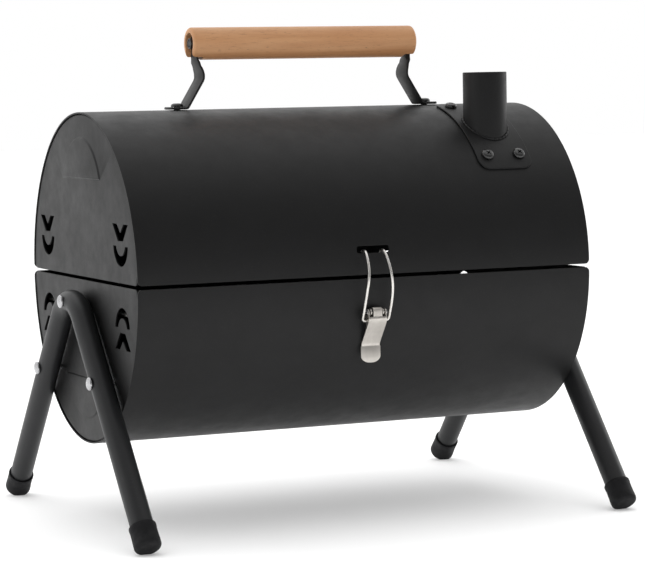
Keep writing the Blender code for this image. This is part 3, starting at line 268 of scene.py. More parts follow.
def plated(name, dark, light, rough, brush=(1.0, 1.0, 1.0), depth=0.00002):
    """Plated or drawn metal: streaky tone along the drawing, hairline scratches, mottled gloss."""
    nodes = Nodes(bpy.data.materials.new(name))
    streak = nodes.noise(90.0, 4.0, 0.65, nodes.stretched(brush))
    colour = nodes.mix(nodes.ramp(streak, 0.3, 0.7), dark, light)
    hair = nodes.noise(700.0, 3.0, 0.7, nodes.stretched(brush))
    gloss = nodes.ramp(hair, 0.25, 0.75, rough - 0.07, rough + 0.10)
    return nodes.finish(colour, gloss, [(hair, 0.4, depth)], metallic=1.0)


def beech(name):
    """Turned beech, clear oiled: long pale bands, fine pores, short dark flecks, a few specks."""
    nodes = Nodes(bpy.data.materials.new(name))
    bands = nodes.noise(1.1, 3.0, 0.55, nodes.stretched((6.0, 90.0, 90.0)), 0.8)
    pores = nodes.noise(9.0, 4.0, 0.7, nodes.stretched((14.0, 160.0, 160.0)))
    flecks = nodes.noise(10.0, 1.0, 0.4, nodes.stretched((26.0, 110.0, 110.0)))
    specks = nodes.cells(75.0, nodes.stretched((0.55, 1.0, 1.0)))
    broad = nodes.noise(16.0, 2.0, 0.5, nodes.stretched((0.7, 1.5, 1.5)))
    colour = nodes.mix(nodes.ramp(bands, 0.34, 0.66), (0.62, 0.300, 0.135), (0.76, 0.425, 0.220))
    for value, low, high, strength, tint in (
            (broad, 0.40, 0.75, 0.55, (0.58, 0.265, 0.112)), (pores, 0.56, 0.72, 0.45, (0.30, 0.135, 0.062)),
            (flecks, 0.68, 0.80, 0.45, (0.27, 0.12, 0.055)),
            (specks, 0.045, 0.015, 0.45, (0.12, 0.06, 0.03))):
        colour = nodes.mix(nodes.ramp(value, low, high, 0.0, strength), colour, tint)
    sheen = nodes.ramp(pores, 0.3, 0.7, 0.44, 0.62)
    return nodes.finish(colour, sheen, [(bands, 0.15, 0.0003), (pores, 0.35, 0.00008)], 0.35)


def moulded_rubber(name):
    """Foot caps: dull black, dusty bloom low down, a fine moulded grain."""
    nodes = Nodes(bpy.data.materials.new(name))
    dust = nodes.ramp(nodes.noise(130.0, 4.0, 0.7), 0.45, 0.75, 0.0, 0.6)
    colour = nodes.mix(dust, (0.008, 0.008, 0.009), (0.020, 0.020, 0.021))
    sheen = nodes.ramp(nodes.noise(220.0, 2.0), 0.3, 0.7, 0.55, 0.75)
    return nodes.finish(colour, sheen, [(nodes.noise(1300.0, 2.0), 0.5, 0.00005)], 0.22)


DRAWN_LENGTHWISE = (1.0, 1.0, 0.12)
SHEET_BLACK = powder_coat("black_powder_coat", (0.0062, 0.0062, 0.0064), (0.0082, 0.0082, 0.0085), 0.48,
                          specular=0.28)
TUBE_BLACK = powder_coat("black_tube_coat", (0.0105, 0.0109, 0.0118), (0.0135, 0.0140, 0.0152), 0.42,
                         grain=1800.0, specular=0.36)
SCREW_BLACK = powder_coat("black_screw_coat", (0.008, 0.008, 0.008), (0.014, 0.014, 0.014), 0.25,
                          grain=2600.0, depth=0.00002, specular=0.8)
CHROME = plated("chrome", (0.40, 0.40, 0.41), (0.55, 0.55, 0.56), 0.26)
NICKEL = plated("nickel_plate", (0.54, 0.51, 0.47), (0.70, 0.665, 0.62), 0.40, DRAWN_LENGTHWISE)
ZINC = plated("zinc_plate", (0.36, 0.36, 0.37), (0.62, 0.61, 0.59), 0.34)
# Zinc darkened to stand for the shade inside the grip's bore: painted shade on the handle rod and its nuts.
ZINC_PAINTED_SHADE = plated("zinc_plate_painted_shade", (0.035, 0.035, 0.037), (0.085, 0.083, 0.080), 0.42)
BRIGHT_WIRE = plated("bright_wire", (0.72, 0.69, 0.65), (0.88, 0.86, 0.83), 0.28, DRAWN_LENGTHWISE)
GRATE_STEEL = plated("grate_steel", (0.36, 0.35, 0.34), (0.66, 0.65, 0.63), 0.30, (0.15, 1.0, 1.0))
GRATE_SHEET_STEEL = plated("grate_sheet_steel", (0.20, 0.195, 0.19), (0.40, 0.39, 0.375), 0.45,
                           (0.1, 1.0, 1.0))
BEECH = beech("beech_wood")
RUBBER = moulded_rubber("black_rubber")


# ---- mesh helpers

STAGE = bpy.context.scene.collection
PIECES = bpy.data.collections.new("finer_pieces")
STAGE.children.link(PIECES)


def mesh_from(bm, name="mesh"):
    mesh = bpy.data.meshes.new(name)
    bm.to_mesh(mesh)
    bm.free()
    return mesh


def new_object(name, data, matrix=None, collection=PIECES):
    obj = bpy.data.objects.new(name, data)
    collection.objects.link(obj)
    if matrix is not None:
        obj.matrix_world = matrix
    return obj


def evaluated_mesh(obj):
    bpy.context.view_layer.update()
    return bpy.data.meshes.new_from_object(obj.evaluated_get(bpy.context.evaluated_depsgraph_get()))


def modify(obj, kind, **settings):
    """Add one modifier, apply it and give the object back."""
    modifier = obj.modifiers.new(kind, kind)
    for name, value in settings.items():
        setattr(modifier, name, value)
    mesh = evaluated_mesh(obj)
    obj.modifiers.clear()
    obj.data = mesh
    return obj


def boolean(obj, cutters, operation='DIFFERENCE'):
    """Apply exact Booleans one after another and remove the cutters."""
    for cutter in cutters:
        modify(obj, 'BOOLEAN', operation=operation, object=cutter, solver='EXACT')
        bpy.data.objects.remove(cutter, do_unlink=True)
    return obj


def solidify(obj, thickness):
    return modify(obj, 'SOLIDIFY', thickness=thickness, offset=0.0, use_even_offset=True)


def soften(obj, width=0.0002, angle=50.0):
    """Round the sheared edges so that they catch light."""
    return modify(obj, 'BEVEL', width=width, segments=2, limit_method='ANGLE', angle_limit=radians(angle),
                  use_clamp_overlap=False)


def finish(obj, material, body, nodes=(), sharp=38.0):
    """Weld, shade, give the finish and hang the piece on its body."""
    bm = bmesh.new()
    bm.from_mesh(obj.data)
    bm.transform(obj.matrix_world)
    bmesh.ops.remove_doubles(bm, verts=bm.verts, dist=MERGE)
    bmesh.ops.dissolve_degenerate(bm, edges=bm.edges, dist=MERGE)
    bmesh.ops.recalc_face_normals(bm, faces=bm.faces)
    mesh = mesh_from(bm, obj.name)
    obj.matrix_world = Matrix.Identity(4)
    mesh.materials.clear()
    mesh.materials.append(material)
    mesh.shade_smooth()
    mesh.set_sharp_from_angle(angle=radians(sharp))
    obj.data = mesh
    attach(obj, body)
    if nodes:
        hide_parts(*nodes)
    return obj


def piece(node, mesh, material, body, matrix=None, sharp=38.0):
    """Finish a mesh as the finer piece that stands for one CAD node."""
    return finish(new_object(node + "_fine", mesh, matrix), material, body, [node], sharp)


def true_round(obj, axis_z):
    """Point the normals of rolled sheet straight out of the barrel's axis, whatever cuts it."""
    mesh = obj.data
    normals = [tuple(corner.vector) for corner in mesh.corner_normals]
    for face in mesh.polygons:
        outwards = Vector((0.0, face.center.y, face.center.z - axis_z)).normalized()
        facing = face.normal.dot(outwards)
        if abs(facing) > 0.99:
            for corner in face.loop_indices:
                place = mesh.vertices[mesh.loops[corner].vertex_index].co
                normal = copysign(1.0, facing) * Vector((0.0, place.y, place.z - axis_z)).normalized()
                normals[corner] = tuple(normal)
    mesh.normals_split_custom_set(normals)


def arc(centre, radius, start, end, steps):
    points = []
    for i in range(steps + 1):
        angle = radians(start + (end - start) * i / steps)
        points.append((centre[0] + radius * cos(angle), centre[1] + radius * sin(angle)))
    return points


def circle(centre, radius, steps=32):
    return arc(centre, radius, 0.0, 360.0, steps)[:-1]


def rounded_rectangle(centre, width, height, radius, steps=8):
    points = []
    for sx, sy, start in ((1, 1, 0), (-1, 1, 90), (-1, -1, 180), (1, -1, 270)):
        corner = (centre[0] + sx * (width / 2 - radius), centre[1] + sy * (height / 2 - radius))
        points += arc(corner, radius, start, start + 90, steps)
    return points


def curve_mesh(curve):
    holder = new_object("holder", curve)
    mesh = evaluated_mesh(holder)
    bpy.data.objects.remove(holder, do_unlink=True)
    bm = bmesh.new()
    bm.from_mesh(mesh)
    bmesh.ops.remove_doubles(bm, verts=bm.verts, dist=MERGE)
    bmesh.ops.recalc_face_normals(bm, faces=bm.faces)
    return mesh_from(bm)


def plate_mesh(outlines, thickness):
    """A flat plate in the local XY plane; outlines after the first are its windows."""
    curve = bpy.data.curves.new("plate", 'CURVE')
    curve.dimensions = '2D'
    curve.fill_mode = 'BOTH'
    curve.extrude = thickness / 2
    for outline in outlines:
        spline = curve.splines.new('POLY')
        spline.points.add(len(outline) - 1)
        for point, (x, y) in zip(spline.points, outline):
            point.co = (x, y, 0.0, 1.0)
        spline.use_cyclic_u = True
    return curve_mesh(curve)


def wire_mesh(points, radius, resolution=6, radii=None, closed=False):
    """A round wire along points, its ends closed."""
    curve = bpy.data.curves.new("wire", 'CURVE')
    curve.dimensions = '3D'
    curve.bevel_depth = radius
    curve.bevel_resolution = resolution
    curve.use_fill_caps = not closed
    spline = curve.splines.new('POLY')
    spline.points.add(len(points) - 1)
    spline.use_cyclic_u = closed
    for i, (point, position) in enumerate(zip(spline.points, points)):
        point.co = (*position, 1.0)
        if radii:
            point.radius = radii[i]
    return curve_mesh(curve)


def turned_mesh(profile, steps, closed=False):
    """A profile of (radius, height) points turned about local Z."""
    bm = bmesh.new()
    rings = []
    for radius, height in profile:
        if radius < MERGE:
            rings.append([bm.verts.new((0.0, 0.0, height))])
            continue
        angles = [2 * pi * i / steps for i in range(steps)]
        rings.append([bm.verts.new((radius * cos(a), radius * sin(a), height)) for a in angles])
    pairs = list(zip(rings, rings[1:]))
    if closed:
        pairs.append((rings[-1], rings[0]))
    for low, high in pairs:
        for i in range(steps):
            j = (i + 1) % steps
            corners = [low[i % len(low)], low[j % len(low)], high[j % len(high)], high[i % len(high)]]
            face = list(dict.fromkeys(corners))
            if len(face) > 2:
                bm.faces.new(face)
    return mesh_from(bm)


def strip(node, path, half_widths, across, thickness, matrix=None):
    """A sheet strip along path; path points are the two axes other than `across`."""
    bm = bmesh.new()
    rows = []
    for (a, b), half in zip(path, half_widths):
        ends = [(-half, a, b), (half, a, b)]
        if across == 'Y':
            ends = [(a, -half, b), (a, half, b)]
        rows.append([bm.verts.new(end) for end in ends])
    for low, high in zip(rows, rows[1:]):
        bm.faces.new((low[0], low[1], high[1], high[0]))
    return solidify(new_object(node + "_fine", mesh_from(bm), matrix), thickness)


def cylinder(matrix, radius, length, segments=48):
    """A round cutter, its axis along the matrix's local Z."""
    bm = bmesh.new()
    bmesh.ops.create_cone(bm, cap_ends=True, segments=segments, radius1=radius, radius2=radius, depth=length)
    return new_object("cutter", mesh_from(bm), matrix)


def rolled_sheet(name, sections):
    """A closed sheet through sections of four points: outer and inner at one end, then at the other."""
    bm = bmesh.new()
    rows = [[bm.verts.new(point) for point in section] for section in sections]
    for low, high in zip(rows, rows[1:]):
        for a, b in ((0, 2), (2, 3), (3, 1), (1, 0)):
            bm.faces.new((low[a], low[b], high[b], high[a]))
    bm.faces.new([rows[0][i] for i in (0, 1, 3, 2)])
    bm.faces.new([rows[-1][i] for i in (0, 2, 3, 1)])
    bmesh.ops.recalc_face_normals(bm, faces=bm.faces)
    return new_object(name, mesh_from(bm))


def mirrored(profile):
    """A turned profile followed by its mirror image below height 0."""
    return profile + [(radius, -height) for radius, height in reversed(profile)]


def centre_of(node):
    low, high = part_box(node)
    return (low + high) / 2


def at(x, y, z):
    return Matrix.Translation((x, y, z))


def facing_x(x):
    """A matrix that stands the local XY plane up as the YZ plane at x."""
    return Matrix(((0, 0, 1, x), (1, 0, 0, 0), (0, 1, 0, 0), (0, 0, 0, 1)))


def along(direction, position):
    """A matrix whose local Z points along direction from position."""
    turn = Vector(direction).to_track_quat('Z', 'Y').to_matrix().to_4x4()
    return Matrix.Translation(position) @ turn


def on_barrel(x, theta, radius, axis_z):
    """Local Z outwards at theta degrees forward of the barrel's top."""
    angle = radians(theta)
    outwards = Vector((0.0, -sin(angle), cos(angle)))
    return along(outwards, Vector((x, 0.0, axis_z)) + radius * outwards)


def theta_at(drop):
    """Angle forward of the top, on the front, at a height below the seam."""
    return 90.0 + degrees(asin(drop / BARREL_RADIUS))


def smooth_route(points, per_span):
    """Catmull-Rom curve through points of any dimension, ends included."""
    padded = [points[0]] + list(points) + [points[-1]]
    route = []
    for a, b, c, d in zip(padded, padded[1:], padded[2:], padded[3:]):
        for i in range(per_span):
            t = i / per_span
            route.append(tuple(
                0.5 * (2 * q + (r - p) * t + (2 * p - 5 * q + 4 * r - s) * t * t
                       + (3 * q - p - 3 * r + s) * t ** 3)
                for p, q, r, s in zip(a, b, c, d)))
    route.append(tuple(points[-1]))
    return route


# ---- fasteners

def dome(head, rise, shank, grip, tail=0.0, tail_rise=0.0, rings=8, skirt=0.0):
    """Profile of a domed head above z = FIT, its shank, and a flat tail inside."""
    profile = [(0.0, FIT + rise)]
    for i in range(1, rings + 1):
        angle = radians(90.0 * (1.0 - i / rings))
        profile.append((head * cos(angle), FIT + skirt + (rise - skirt) * sin(angle)))
    profile += [(head, FIT), (shank, FIT), (shank, -grip)]
    if tail:
        profile += [(tail, -grip), (tail, -grip - tail_rise)]
    profile.append((0.0, profile[-1][1]))
    return profile


def headed_pin(node, place, radius, half, head, rise, crown, edge):
    """A pin along X with a flat-crowned head at each end of its free length, 2 * half."""
    profile = [(0.0, half + rise), ((radius + head) * crown, half + rise), (radius + head, half + edge),
               (radius + head, half), (radius, half)]
    piece(node, turned_mesh(mirrored(profile), 28), ZINC, "lower_half", along((1, 0, 0), place))


def small_rivet(node, matrix, grip, material, body):
    return piece(node, turned_mesh(dome(grip=grip, **SMALL_RIVET), 24), material, body, matrix)


def pan_screw(node, matrix, length, twist):
    """Pan head with a cross recess on a plain shank."""
    profile = [(SCREW_HEAD * r, FIT + SCREW_RISE * z) for r, z in SCREW_CROWN]
    profile += [(SCREW_SHANK, FIT), (SCREW_SHANK, SCREW_TIP - length), (SCREW_SHANK - SCREW_TIP, -length),
                (0.0, -length)]
    place = matrix @ Matrix.Rotation(radians(twist), 4, 'Z')
    head = new_object(node + "_fine", turned_mesh(profile, 40), place)
    for turn in (0.0, 90.0):
        boolean(head, [recess_blade(place @ Matrix.Rotation(radians(turn), 4, 'Z'))])
    return finish(head, SCREW_BLACK, "lid", [node])


def recess_blade(matrix):
    """One blade of a cross recess, tapered downwards."""
    bm = bmesh.new()
    rim = [(-1, -1), (1, -1), (1, 1), (-1, 1)]
    top = [bm.verts.new((sx * RECESS_WIDTH / 2, sy * RECESS_ARM / 2, RECESS_DEPTH)) for sx, sy in rim]
    low = [bm.verts.new((sx * RECESS_WIDTH * 0.24, sy * RECESS_ARM * 0.38, -RECESS_DEPTH)) for sx, sy in rim]
    bm.faces.new(top)
    bm.faces.new(low[::-1])
    for i in range(4):
        j = (i + 1) % 4
        bm.faces.new((top[j], top[i], low[i], low[j]))
    return new_object("cutter", mesh_from(bm), matrix @ at(0, 0, FIT + SCREW_RISE))


def hex_nut(name, matrix, bore, material, nodes=()):
    """A hexagon nut below the plane z = 0 of its matrix, its corners turned off."""
    across_corners = NUT_WIDTH / 2 / cos(radians(30))
    outlines = [circle((0.0, 0.0), across_corners, 6), circle((0.0, 0.0), bore, 32)]
    nut = new_object(name, plate_mesh(outlines, NUT_HEIGHT), matrix @ at(0, 0, -NUT_HEIGHT / 2))
    profile = [(0.0, NUT_HEIGHT / 2), (NUT_WIDTH / 2, NUT_HEIGHT / 2),
               (across_corners + 0.0001, NUT_HEIGHT / 2 - NUT_CHAMFER)]
    turned = new_object("cutter", turned_mesh(mirrored(profile), 48), nut.matrix_world.copy())
    boolean(nut, [turned], 'INTERSECT')
    return finish(nut, material, "lid", nodes, 25.0)


# ---- barrel halves

def seam_rows():
    """Angles from the seam round to the seam, with how far the ends draw in at the corners."""
    corner = []
    for i in range(7):
        turn = radians(90.0 * i / 6)
        climb = SHELL_CORNER * (1.0 - cos(turn))
        corner.append((climb / BARREL_RADIUS, SHELL_CORNER * (1.0 - sin(turn))))
    first = corner[-1][0]
    middle = [(first + (pi - 2 * first) * i / SHELL_STEPS, 0.0) for i in range(1, SHELL_STEPS)]
    return corner + middle + [(pi - angle, inset) for angle, inset in reversed(corner)]


def half_shell(node, half, axis_z):
    """Rolled half cylinder, open at both ends, its four corners rounded."""
    sections = []
    for angle, inset in seam_rows():
        direction = Vector((0.0, -cos(angle), half * sin(angle)))
        sections.append([direction * radius + Vector((x, 0.0, axis_z))
                         for x in (inset - BARREL_LENGTH / 2, BARREL_LENGTH / 2 - inset)
                         for radius in (BARREL_RADIUS, BARREL_INSIDE)])
    return rolled_sheet(node + "_fine", sections)


def half_disc(radius, corner, rim_inset=None):
    """Outline of a half disc, its two corners rounded; rim_inset(t) pulls the rim in."""
    centre_y = sqrt((radius - corner) ** 2 - corner ** 2)
    blend = degrees(atan2(corner, centre_y))
    right = arc((centre_y, corner), corner, -90.0, blend, 6)
    left = arc((-centre_y, corner), corner, 180.0 - blend, 270.0, 6)
    rim = []
    for i in range(SHELL_STEPS + 1):
        t = i / SHELL_STEPS
        angle = radians(blend + (180.0 - 2 * blend) * t)
        pull = rim_inset(t) if rim_inset else 0.0
        rim.append(((radius - pull) * cos(angle), (radius - pull) * sin(angle)))
    return right, rim, left


def vent_outlines(centre, shift):
    """A fish-tail slot above a crescent slot, measured up from the half's own edge."""
    tail = [(0.0165, 0.0417), (0.0070, 0.0417), (0.0, 0.0355), (-0.0070, 0.0417), (-0.0165, 0.0417),
            (-0.0055, 0.0297), (0.0055, 0.0297)]
    crescent = arc((0.0, 0.0272), 0.0155, 184.0, 356.0, 24) + arc((0.0, 0.0292), 0.0100, -18.0, -162.0, 16)
    return [[(centre + y, z + shift) for y, z in outline] for outline in (tail, crescent)]


def emboss_outline(inset):
    radius = EMBOSS_RADIUS - inset
    start = degrees(asin((EMBOSS_CHORD + inset) / radius))
    return arc((0.0, EMBOSS_CENTRE), radius, start, 180.0 - start, 48)


def smooth_step(t):
    t = min(max(t, 0.0), 1.0)
    return t * t * (3 - 2 * t)


def pressed_end(node, side, half, axis_z, body, holes):
    """Pressed end: rolled rim, raised half-moon with a soft slope, punched vents."""
    bm = bmesh.new()
    radius = BARREL_INSIDE - FIT - SHEET / 2

    def loop(x, outline):
        verts = [bm.verts.new((x, y, half * z)) for y, z in outline]
        return verts, [bm.edges.new(pair) for pair in zip(verts, verts[1:] + verts[:1])]

    def ease(t):
        return smooth_step(min(t, 1.0 - t) / END_EASE)

    right, rim, left = half_disc(radius, END_CORNER, lambda t: END_BEND * ease(t))
    face_verts, edges = loop(0.0, right + rim[1:-1] + left)
    for sign in (-1, 1):
        for outline in vent_outlines(sign * VENT_Y, VENT_SHIFT[half]):
            edges += loop(0.0, outline)[1]
    for y, z in holes:
        edges += loop(0.0, circle((y, z), LEG_RIVET_HOLE, 20))[1]
    ring, ring_edges = loop(0.0, emboss_outline(0.0))
    bmesh.ops.triangle_fill(bm, edges=edges + ring_edges, use_beauty=True)
    for k in range(1, EMBOSS_RINGS + 1):
        t = k / EMBOSS_RINGS
        rise = side * EMBOSS_RISE * smooth_step(t)
        next_ring, next_edges = loop(rise, emboss_outline(EMBOSS_SLOPE * t))
        for i in range(len(ring)):
            j = (i + 1) % len(ring)
            bm.faces.new((ring[i], ring[j], next_ring[j], next_ring[i]))
        ring = next_ring
    bmesh.ops.triangle_fill(bm, edges=next_edges, use_beauty=True)
    first = len(right)
    rows = [face_verts[first - 1:first + len(rim) - 1]]
    bend_steps = 5
    for k in range(1, bend_steps + 2):
        turn = radians(90.0 * min(k / bend_steps, 1.0))
        row = []
        for i in range(len(rim)):
            t = i / SHELL_STEPS
            bend = END_BEND * ease(t)
            inset = bend * (1.0 - sin(turn))
            x = -side * (bend * (1.0 - cos(turn)) if k <= bend_steps else END_FLANGE)
            scale = (radius - inset) / hypot(*rim[i])
            row.append(bm.verts.new((x, rim[i][0] * scale, half * rim[i][1] * scale)))
        rows.append(row)
    for low, high in zip(rows, rows[1:]):
        for i in range(len(low) - 1):
            bm.faces.new((low[i], low[i + 1], high[i + 1], high[i]))
    bmesh.ops.remove_doubles(bm, verts=bm.verts, dist=MERGE)
    bmesh.ops.recalc_face_normals(bm, faces=bm.faces)
    x = side * (END_OUTER_X - EMBOSS_RISE - SHEET / 2)
    panel = new_object(node + "_fine", mesh_from(bm), at(x, 0.0, axis_z))
    solidify(panel, SHEET)
    return finish(panel, SHEET_BLACK, body, [node], 50.0)


# ---- legs

def leg_angle():
    """Half angle of the inverted V and the height of the tube's end on its centre line."""
    cap_radius = LEG_TUBE_RADIUS + FIT + CAP_WALL
    half_spread = LEG_FOOT_SPREAD / 2
    angle = 0.7
    foot_z = 0.0
    for _ in range(20):
        foot_z = cap_radius * sin(angle) - CAP_SOLE_CUT
        reach = hypot(half_spread, LEG_BEND_Z - foot_z)
        angle = atan2(half_spread, LEG_BEND_Z - foot_z) - asin(LEG_BEND_RADIUS / reach)
    return angle, foot_z


def make_legs(angle, foot_z):
    """Bent tubes, their chrome dome rivets and their rubber caps."""
    slope = degrees(angle)
    bend = arc((0.0, LEG_BEND_Z), LEG_BEND_RADIUS, 180.0 - slope, slope, 40)
    inset = CAP_FLOOR + FIT
    tip = (LEG_FOOT_SPREAD / 2 - inset * sin(angle), foot_z + inset * cos(angle))
    route = [(-tip[0], tip[1])] + bend + [tip]
    for side_name, side in SIDES:
        name = "leg_" + side_name
        points = [(side * LEG_X, y, z) for y, z in route]
        piece(name, wire_mesh(points, LEG_TUBE_RADIUS, 10), TUBE_BLACK, "lower_half", sharp=60.0)
        for place in ("top", "front", "back"):
            node = "leg_rivet_%s_%s" % (side_name, place)
            centre = centre_of(node)
            outer = LEG_X + LEG_TUBE_RADIUS
            matrix = along((side, 0, 0), (side * outer, centre.y, centre.z))
            piece(node, turned_mesh(dome(**LEG_RIVET), 40), CHROME, "lower_half", matrix)
            inside = matrix @ at(0, 0, -LEG_RIVET["grip"])
            # The tails inside the barrel take the black coat instead of chrome so they stay dark there:
            # painted shade.
            tail = new_object(node + "_tail", turned_mesh(CLENCHED_TAIL, 32), inside)
            finish(tail, SHEET_BLACK, "lower_half")
        for place, sign in (("front", -1), ("back", 1)):
            foot_cap("foot_cap_%s_%s" % (place, side_name), side, sign, angle, foot_z)


def foot_cap(node, side, sign, angle, foot_z):
    """Moulded rubber cup with a rolled mouth and a rounded end, worn flat where it stands."""
    inner = LEG_TUBE_RADIUS + FIT
    outer = inner + CAP_WALL
    profile = [(0.0, CAP_FLOOR), (inner, CAP_FLOOR), (inner, CAP_LENGTH - 0.0004)]
    lip = arc((inner + CAP_WALL / 2, CAP_LENGTH - 0.0006), CAP_WALL / 2, 180.0, 0.0, 8)
    profile += lip + [(outer, CAP_LENGTH - 0.0026), (outer - CAP_SHRINK, CAP_LENGTH - 0.0031),
                      (outer - CAP_SHRINK, CAP_LENGTH * 0.5), (outer, CAP_LENGTH * 0.3)]
    profile += arc((outer - CAP_TOE, CAP_TOE), CAP_TOE, 0.0, -90.0, 8) + [(0.0, 0.0)]
    up_the_leg = (0.0, -sign * sin(angle), cos(angle))
    matrix = along(up_the_leg, (side * LEG_X, sign * LEG_FOOT_SPREAD / 2, foot_z))
    cap = new_object(node + "_fine", turned_mesh(profile, 56), matrix)
    bm = bmesh.new()
    bmesh.ops.create_cube(bm, size=1.0)
    boolean(cap, [new_object("table", mesh_from(bm), at(0, 0, -0.5))])
    return finish(cap, RUBBER, "lower_half", [node], 40.0)


# ---- grid and grate

def make_cooking_grid():
    """Welded round-wire grid: rim, cross wires on top and three long wires under them."""
    low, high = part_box("cooking_grid")
    rim_radius = (high.z - low.z) / 2
    half_x, half_y = high.x - rim_radius, high.y - rim_radius
    mid_z = (low.z + high.z) / 2
    outline = rounded_rectangle((0.0, 0.0), 2 * half_x, 2 * half_y, GRID_CORNER, 8)
    parts = [wire_mesh([(x, y, mid_z) for x, y in outline], rim_radius, 6, closed=True)]
    top, under = high.z - GRID_WIRE, low.z + GRID_WIRE
    for i in range(1, GRID_SPACES):
        x = -half_x + 2 * half_x * i / GRID_SPACES
        parts.append(wire_mesh([(x, -half_y, top), (x, half_y, top)], GRID_WIRE, 5))
    for y in (-0.5 * half_y, 0.0, 0.5 * half_y):
        parts.append(wire_mesh([(-half_x, y, under), (half_x, y, under)], GRID_WIRE, 5))
    bm = bmesh.new()
    for part in parts:
        bm.from_mesh(part)
    return piece("cooking_grid", mesh_from(bm), GRATE_STEEL, "cooking_grid", sharp=60.0)


def make_charcoal_grate():
    """Punched sheet with round-ended slots."""
    low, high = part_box("charcoal_grate")
    outlines = [rounded_rectangle((0.0, 0.0), 2 * high.x, 2 * high.y, GRATE_CORNER, 6)]
    length, width = GRATE_SLOT
    columns = int((2 * high.x - length) / GRATE_PITCH[0])
    rows = int((2 * high.y - width) / GRATE_PITCH[1])
    for i in range(columns):
        for j in range(rows):
            centre = ((i + 0.5 - columns / 2) * GRATE_PITCH[0], (j + 0.5 - rows / 2) * GRATE_PITCH[1])
            outlines.append(rounded_rectangle(centre, length, width, width / 2 - 0.0002, 10))
    mesh = plate_mesh(outlines, high.z - low.z)
    grate = new_object("charcoal_grate_fine", mesh, at(0, 0, (low.z + high.z) / 2))
    soften(grate, angle=45.0)
    return finish(grate, GRATE_SHEET_STEEL, "charcoal_grate", ["charcoal_grate"], 40.0)


def make_rests():
    """Folded angle strips with a rounded fold and softened edges."""
    for side_name, side in SIDES:
        node = "grid_rest_" + side_name
        low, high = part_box(node)
        outer = max(abs(low.x), abs(high.x)) - SHEET / 2
        inner = min(abs(low.x), abs(high.x))
        top = high.z - SHEET / 2
        bend = arc((outer - REST_FOLD, top - REST_FOLD), REST_FOLD, 90.0, 0.0, 6)
        path = [(side * x, z) for x, z in [(inner, top)] + bend + [(outer, low.z)]]
        half_width = (high.y - low.y) / 2
        rest = strip(node, path, [half_width] * len(path), 'Y', SHEET)
        finish(soften(rest, angle=45.0), SHEET_BLACK, "lower_half", [node])


# ---- hinges

def hinge_leaf(node, x, half, axis_z, body):
    """Leaf wrapped on the barrel's back with its rolled knuckles on the hinge axis."""
    mid_radius = BARREL_RADIUS + FIT + HINGE_LEAF / 2
    steps = 12
    path = []
    for i in range(steps + 1):
        height = HINGE_LEAF_START + (HINGE_LEAF_END - HINGE_LEAF_START) * i / steps
        drop = height - abs(SEAM_Z - axis_z)
        path.append((sqrt(mid_radius ** 2 - drop ** 2), SEAM_Z + half * height))
    widths = [HINGE_LENGTH / 2] * (steps - 1) + [HINGE_LENGTH / 2 - 0.0006, HINGE_LENGTH / 2 - 0.0022]
    leaf = strip(node, path, widths, 'X', HINGE_LEAF, at(x, 0, 0))
    middle = HINGE_MIDDLE / 2
    outer_length = HINGE_LENGTH / 2 - middle - FIT
    spans = [(0.0, HINGE_MIDDLE)]
    if half < 0:
        shift = middle + FIT + outer_length / 2
        spans = [(-shift, outer_length), (shift, outer_length)]
    inner_y = BARREL_RADIUS + FIT
    tab_top = SEAM_Z + half * (HINGE_LEAF_START + 0.0008)
    tab = [(inner_y, SEAM_Z), (inner_y + HINGE_LEAF, SEAM_Z), (inner_y + HINGE_LEAF, tab_top),
           (inner_y, tab_top)]
    for centre, length in spans:
        for outline in (circle((HINGE_Y, SEAM_Z), HINGE_KNUCKLE_RADIUS, 40), tab):
            solid = new_object("joined", plate_mesh([outline], length), facing_x(x + centre))
            boolean(leaf, [solid], 'UNION')
    pin_axis = along((1, 0, 0), (x, HINGE_Y, SEAM_Z))
    boolean(leaf, [cylinder(pin_axis, HINGE_PIN_RADIUS + FIT, 2 * HINGE_LENGTH, 24)])
    finish(soften(leaf), SHEET_BLACK, body, [node])


def make_hinges():
    for side_name, side in SIDES:
        x = side * HINGE_SPACING / 2
        hinge_leaf("hinge_%s_lower_leaf" % side_name, x, -1, LOWER_AXIS_Z, "lower_half")
        hinge_leaf("hinge_%s_upper_leaf" % side_name, x, 1, LID_AXIS_Z, "lid")
        headed_pin("hinge_%s_pin" % side_name, (x, HINGE_Y, SEAM_Z), HINGE_PIN_RADIUS,
                   HINGE_LENGTH / 2 + FIT, **HINGE_PIN_HEAD)
        for half_name, way, axis_z, body in (("lower", -1, LOWER_AXIS_Z, "lower_half"),
                                             ("upper", 1, LID_AXIS_Z, "lid")):
            for place, sign in (("outer", side), ("inner", -side)):
                rivet = "hinge_rivet_%s_%s_%s" % (half_name, side_name, place)
                matrix = on_barrel(x + sign * HINGE_RIVET_SPACING / 2, -theta_at(-way * HINGE_RIVET_HEIGHT),
                                   BARREL_RADIUS + FIT + HINGE_LEAF, axis_z)
                small_rivet(rivet, matrix, SHEET + 2 * FIT + HINGE_LEAF, SCREW_BLACK, body)


# ---- handle

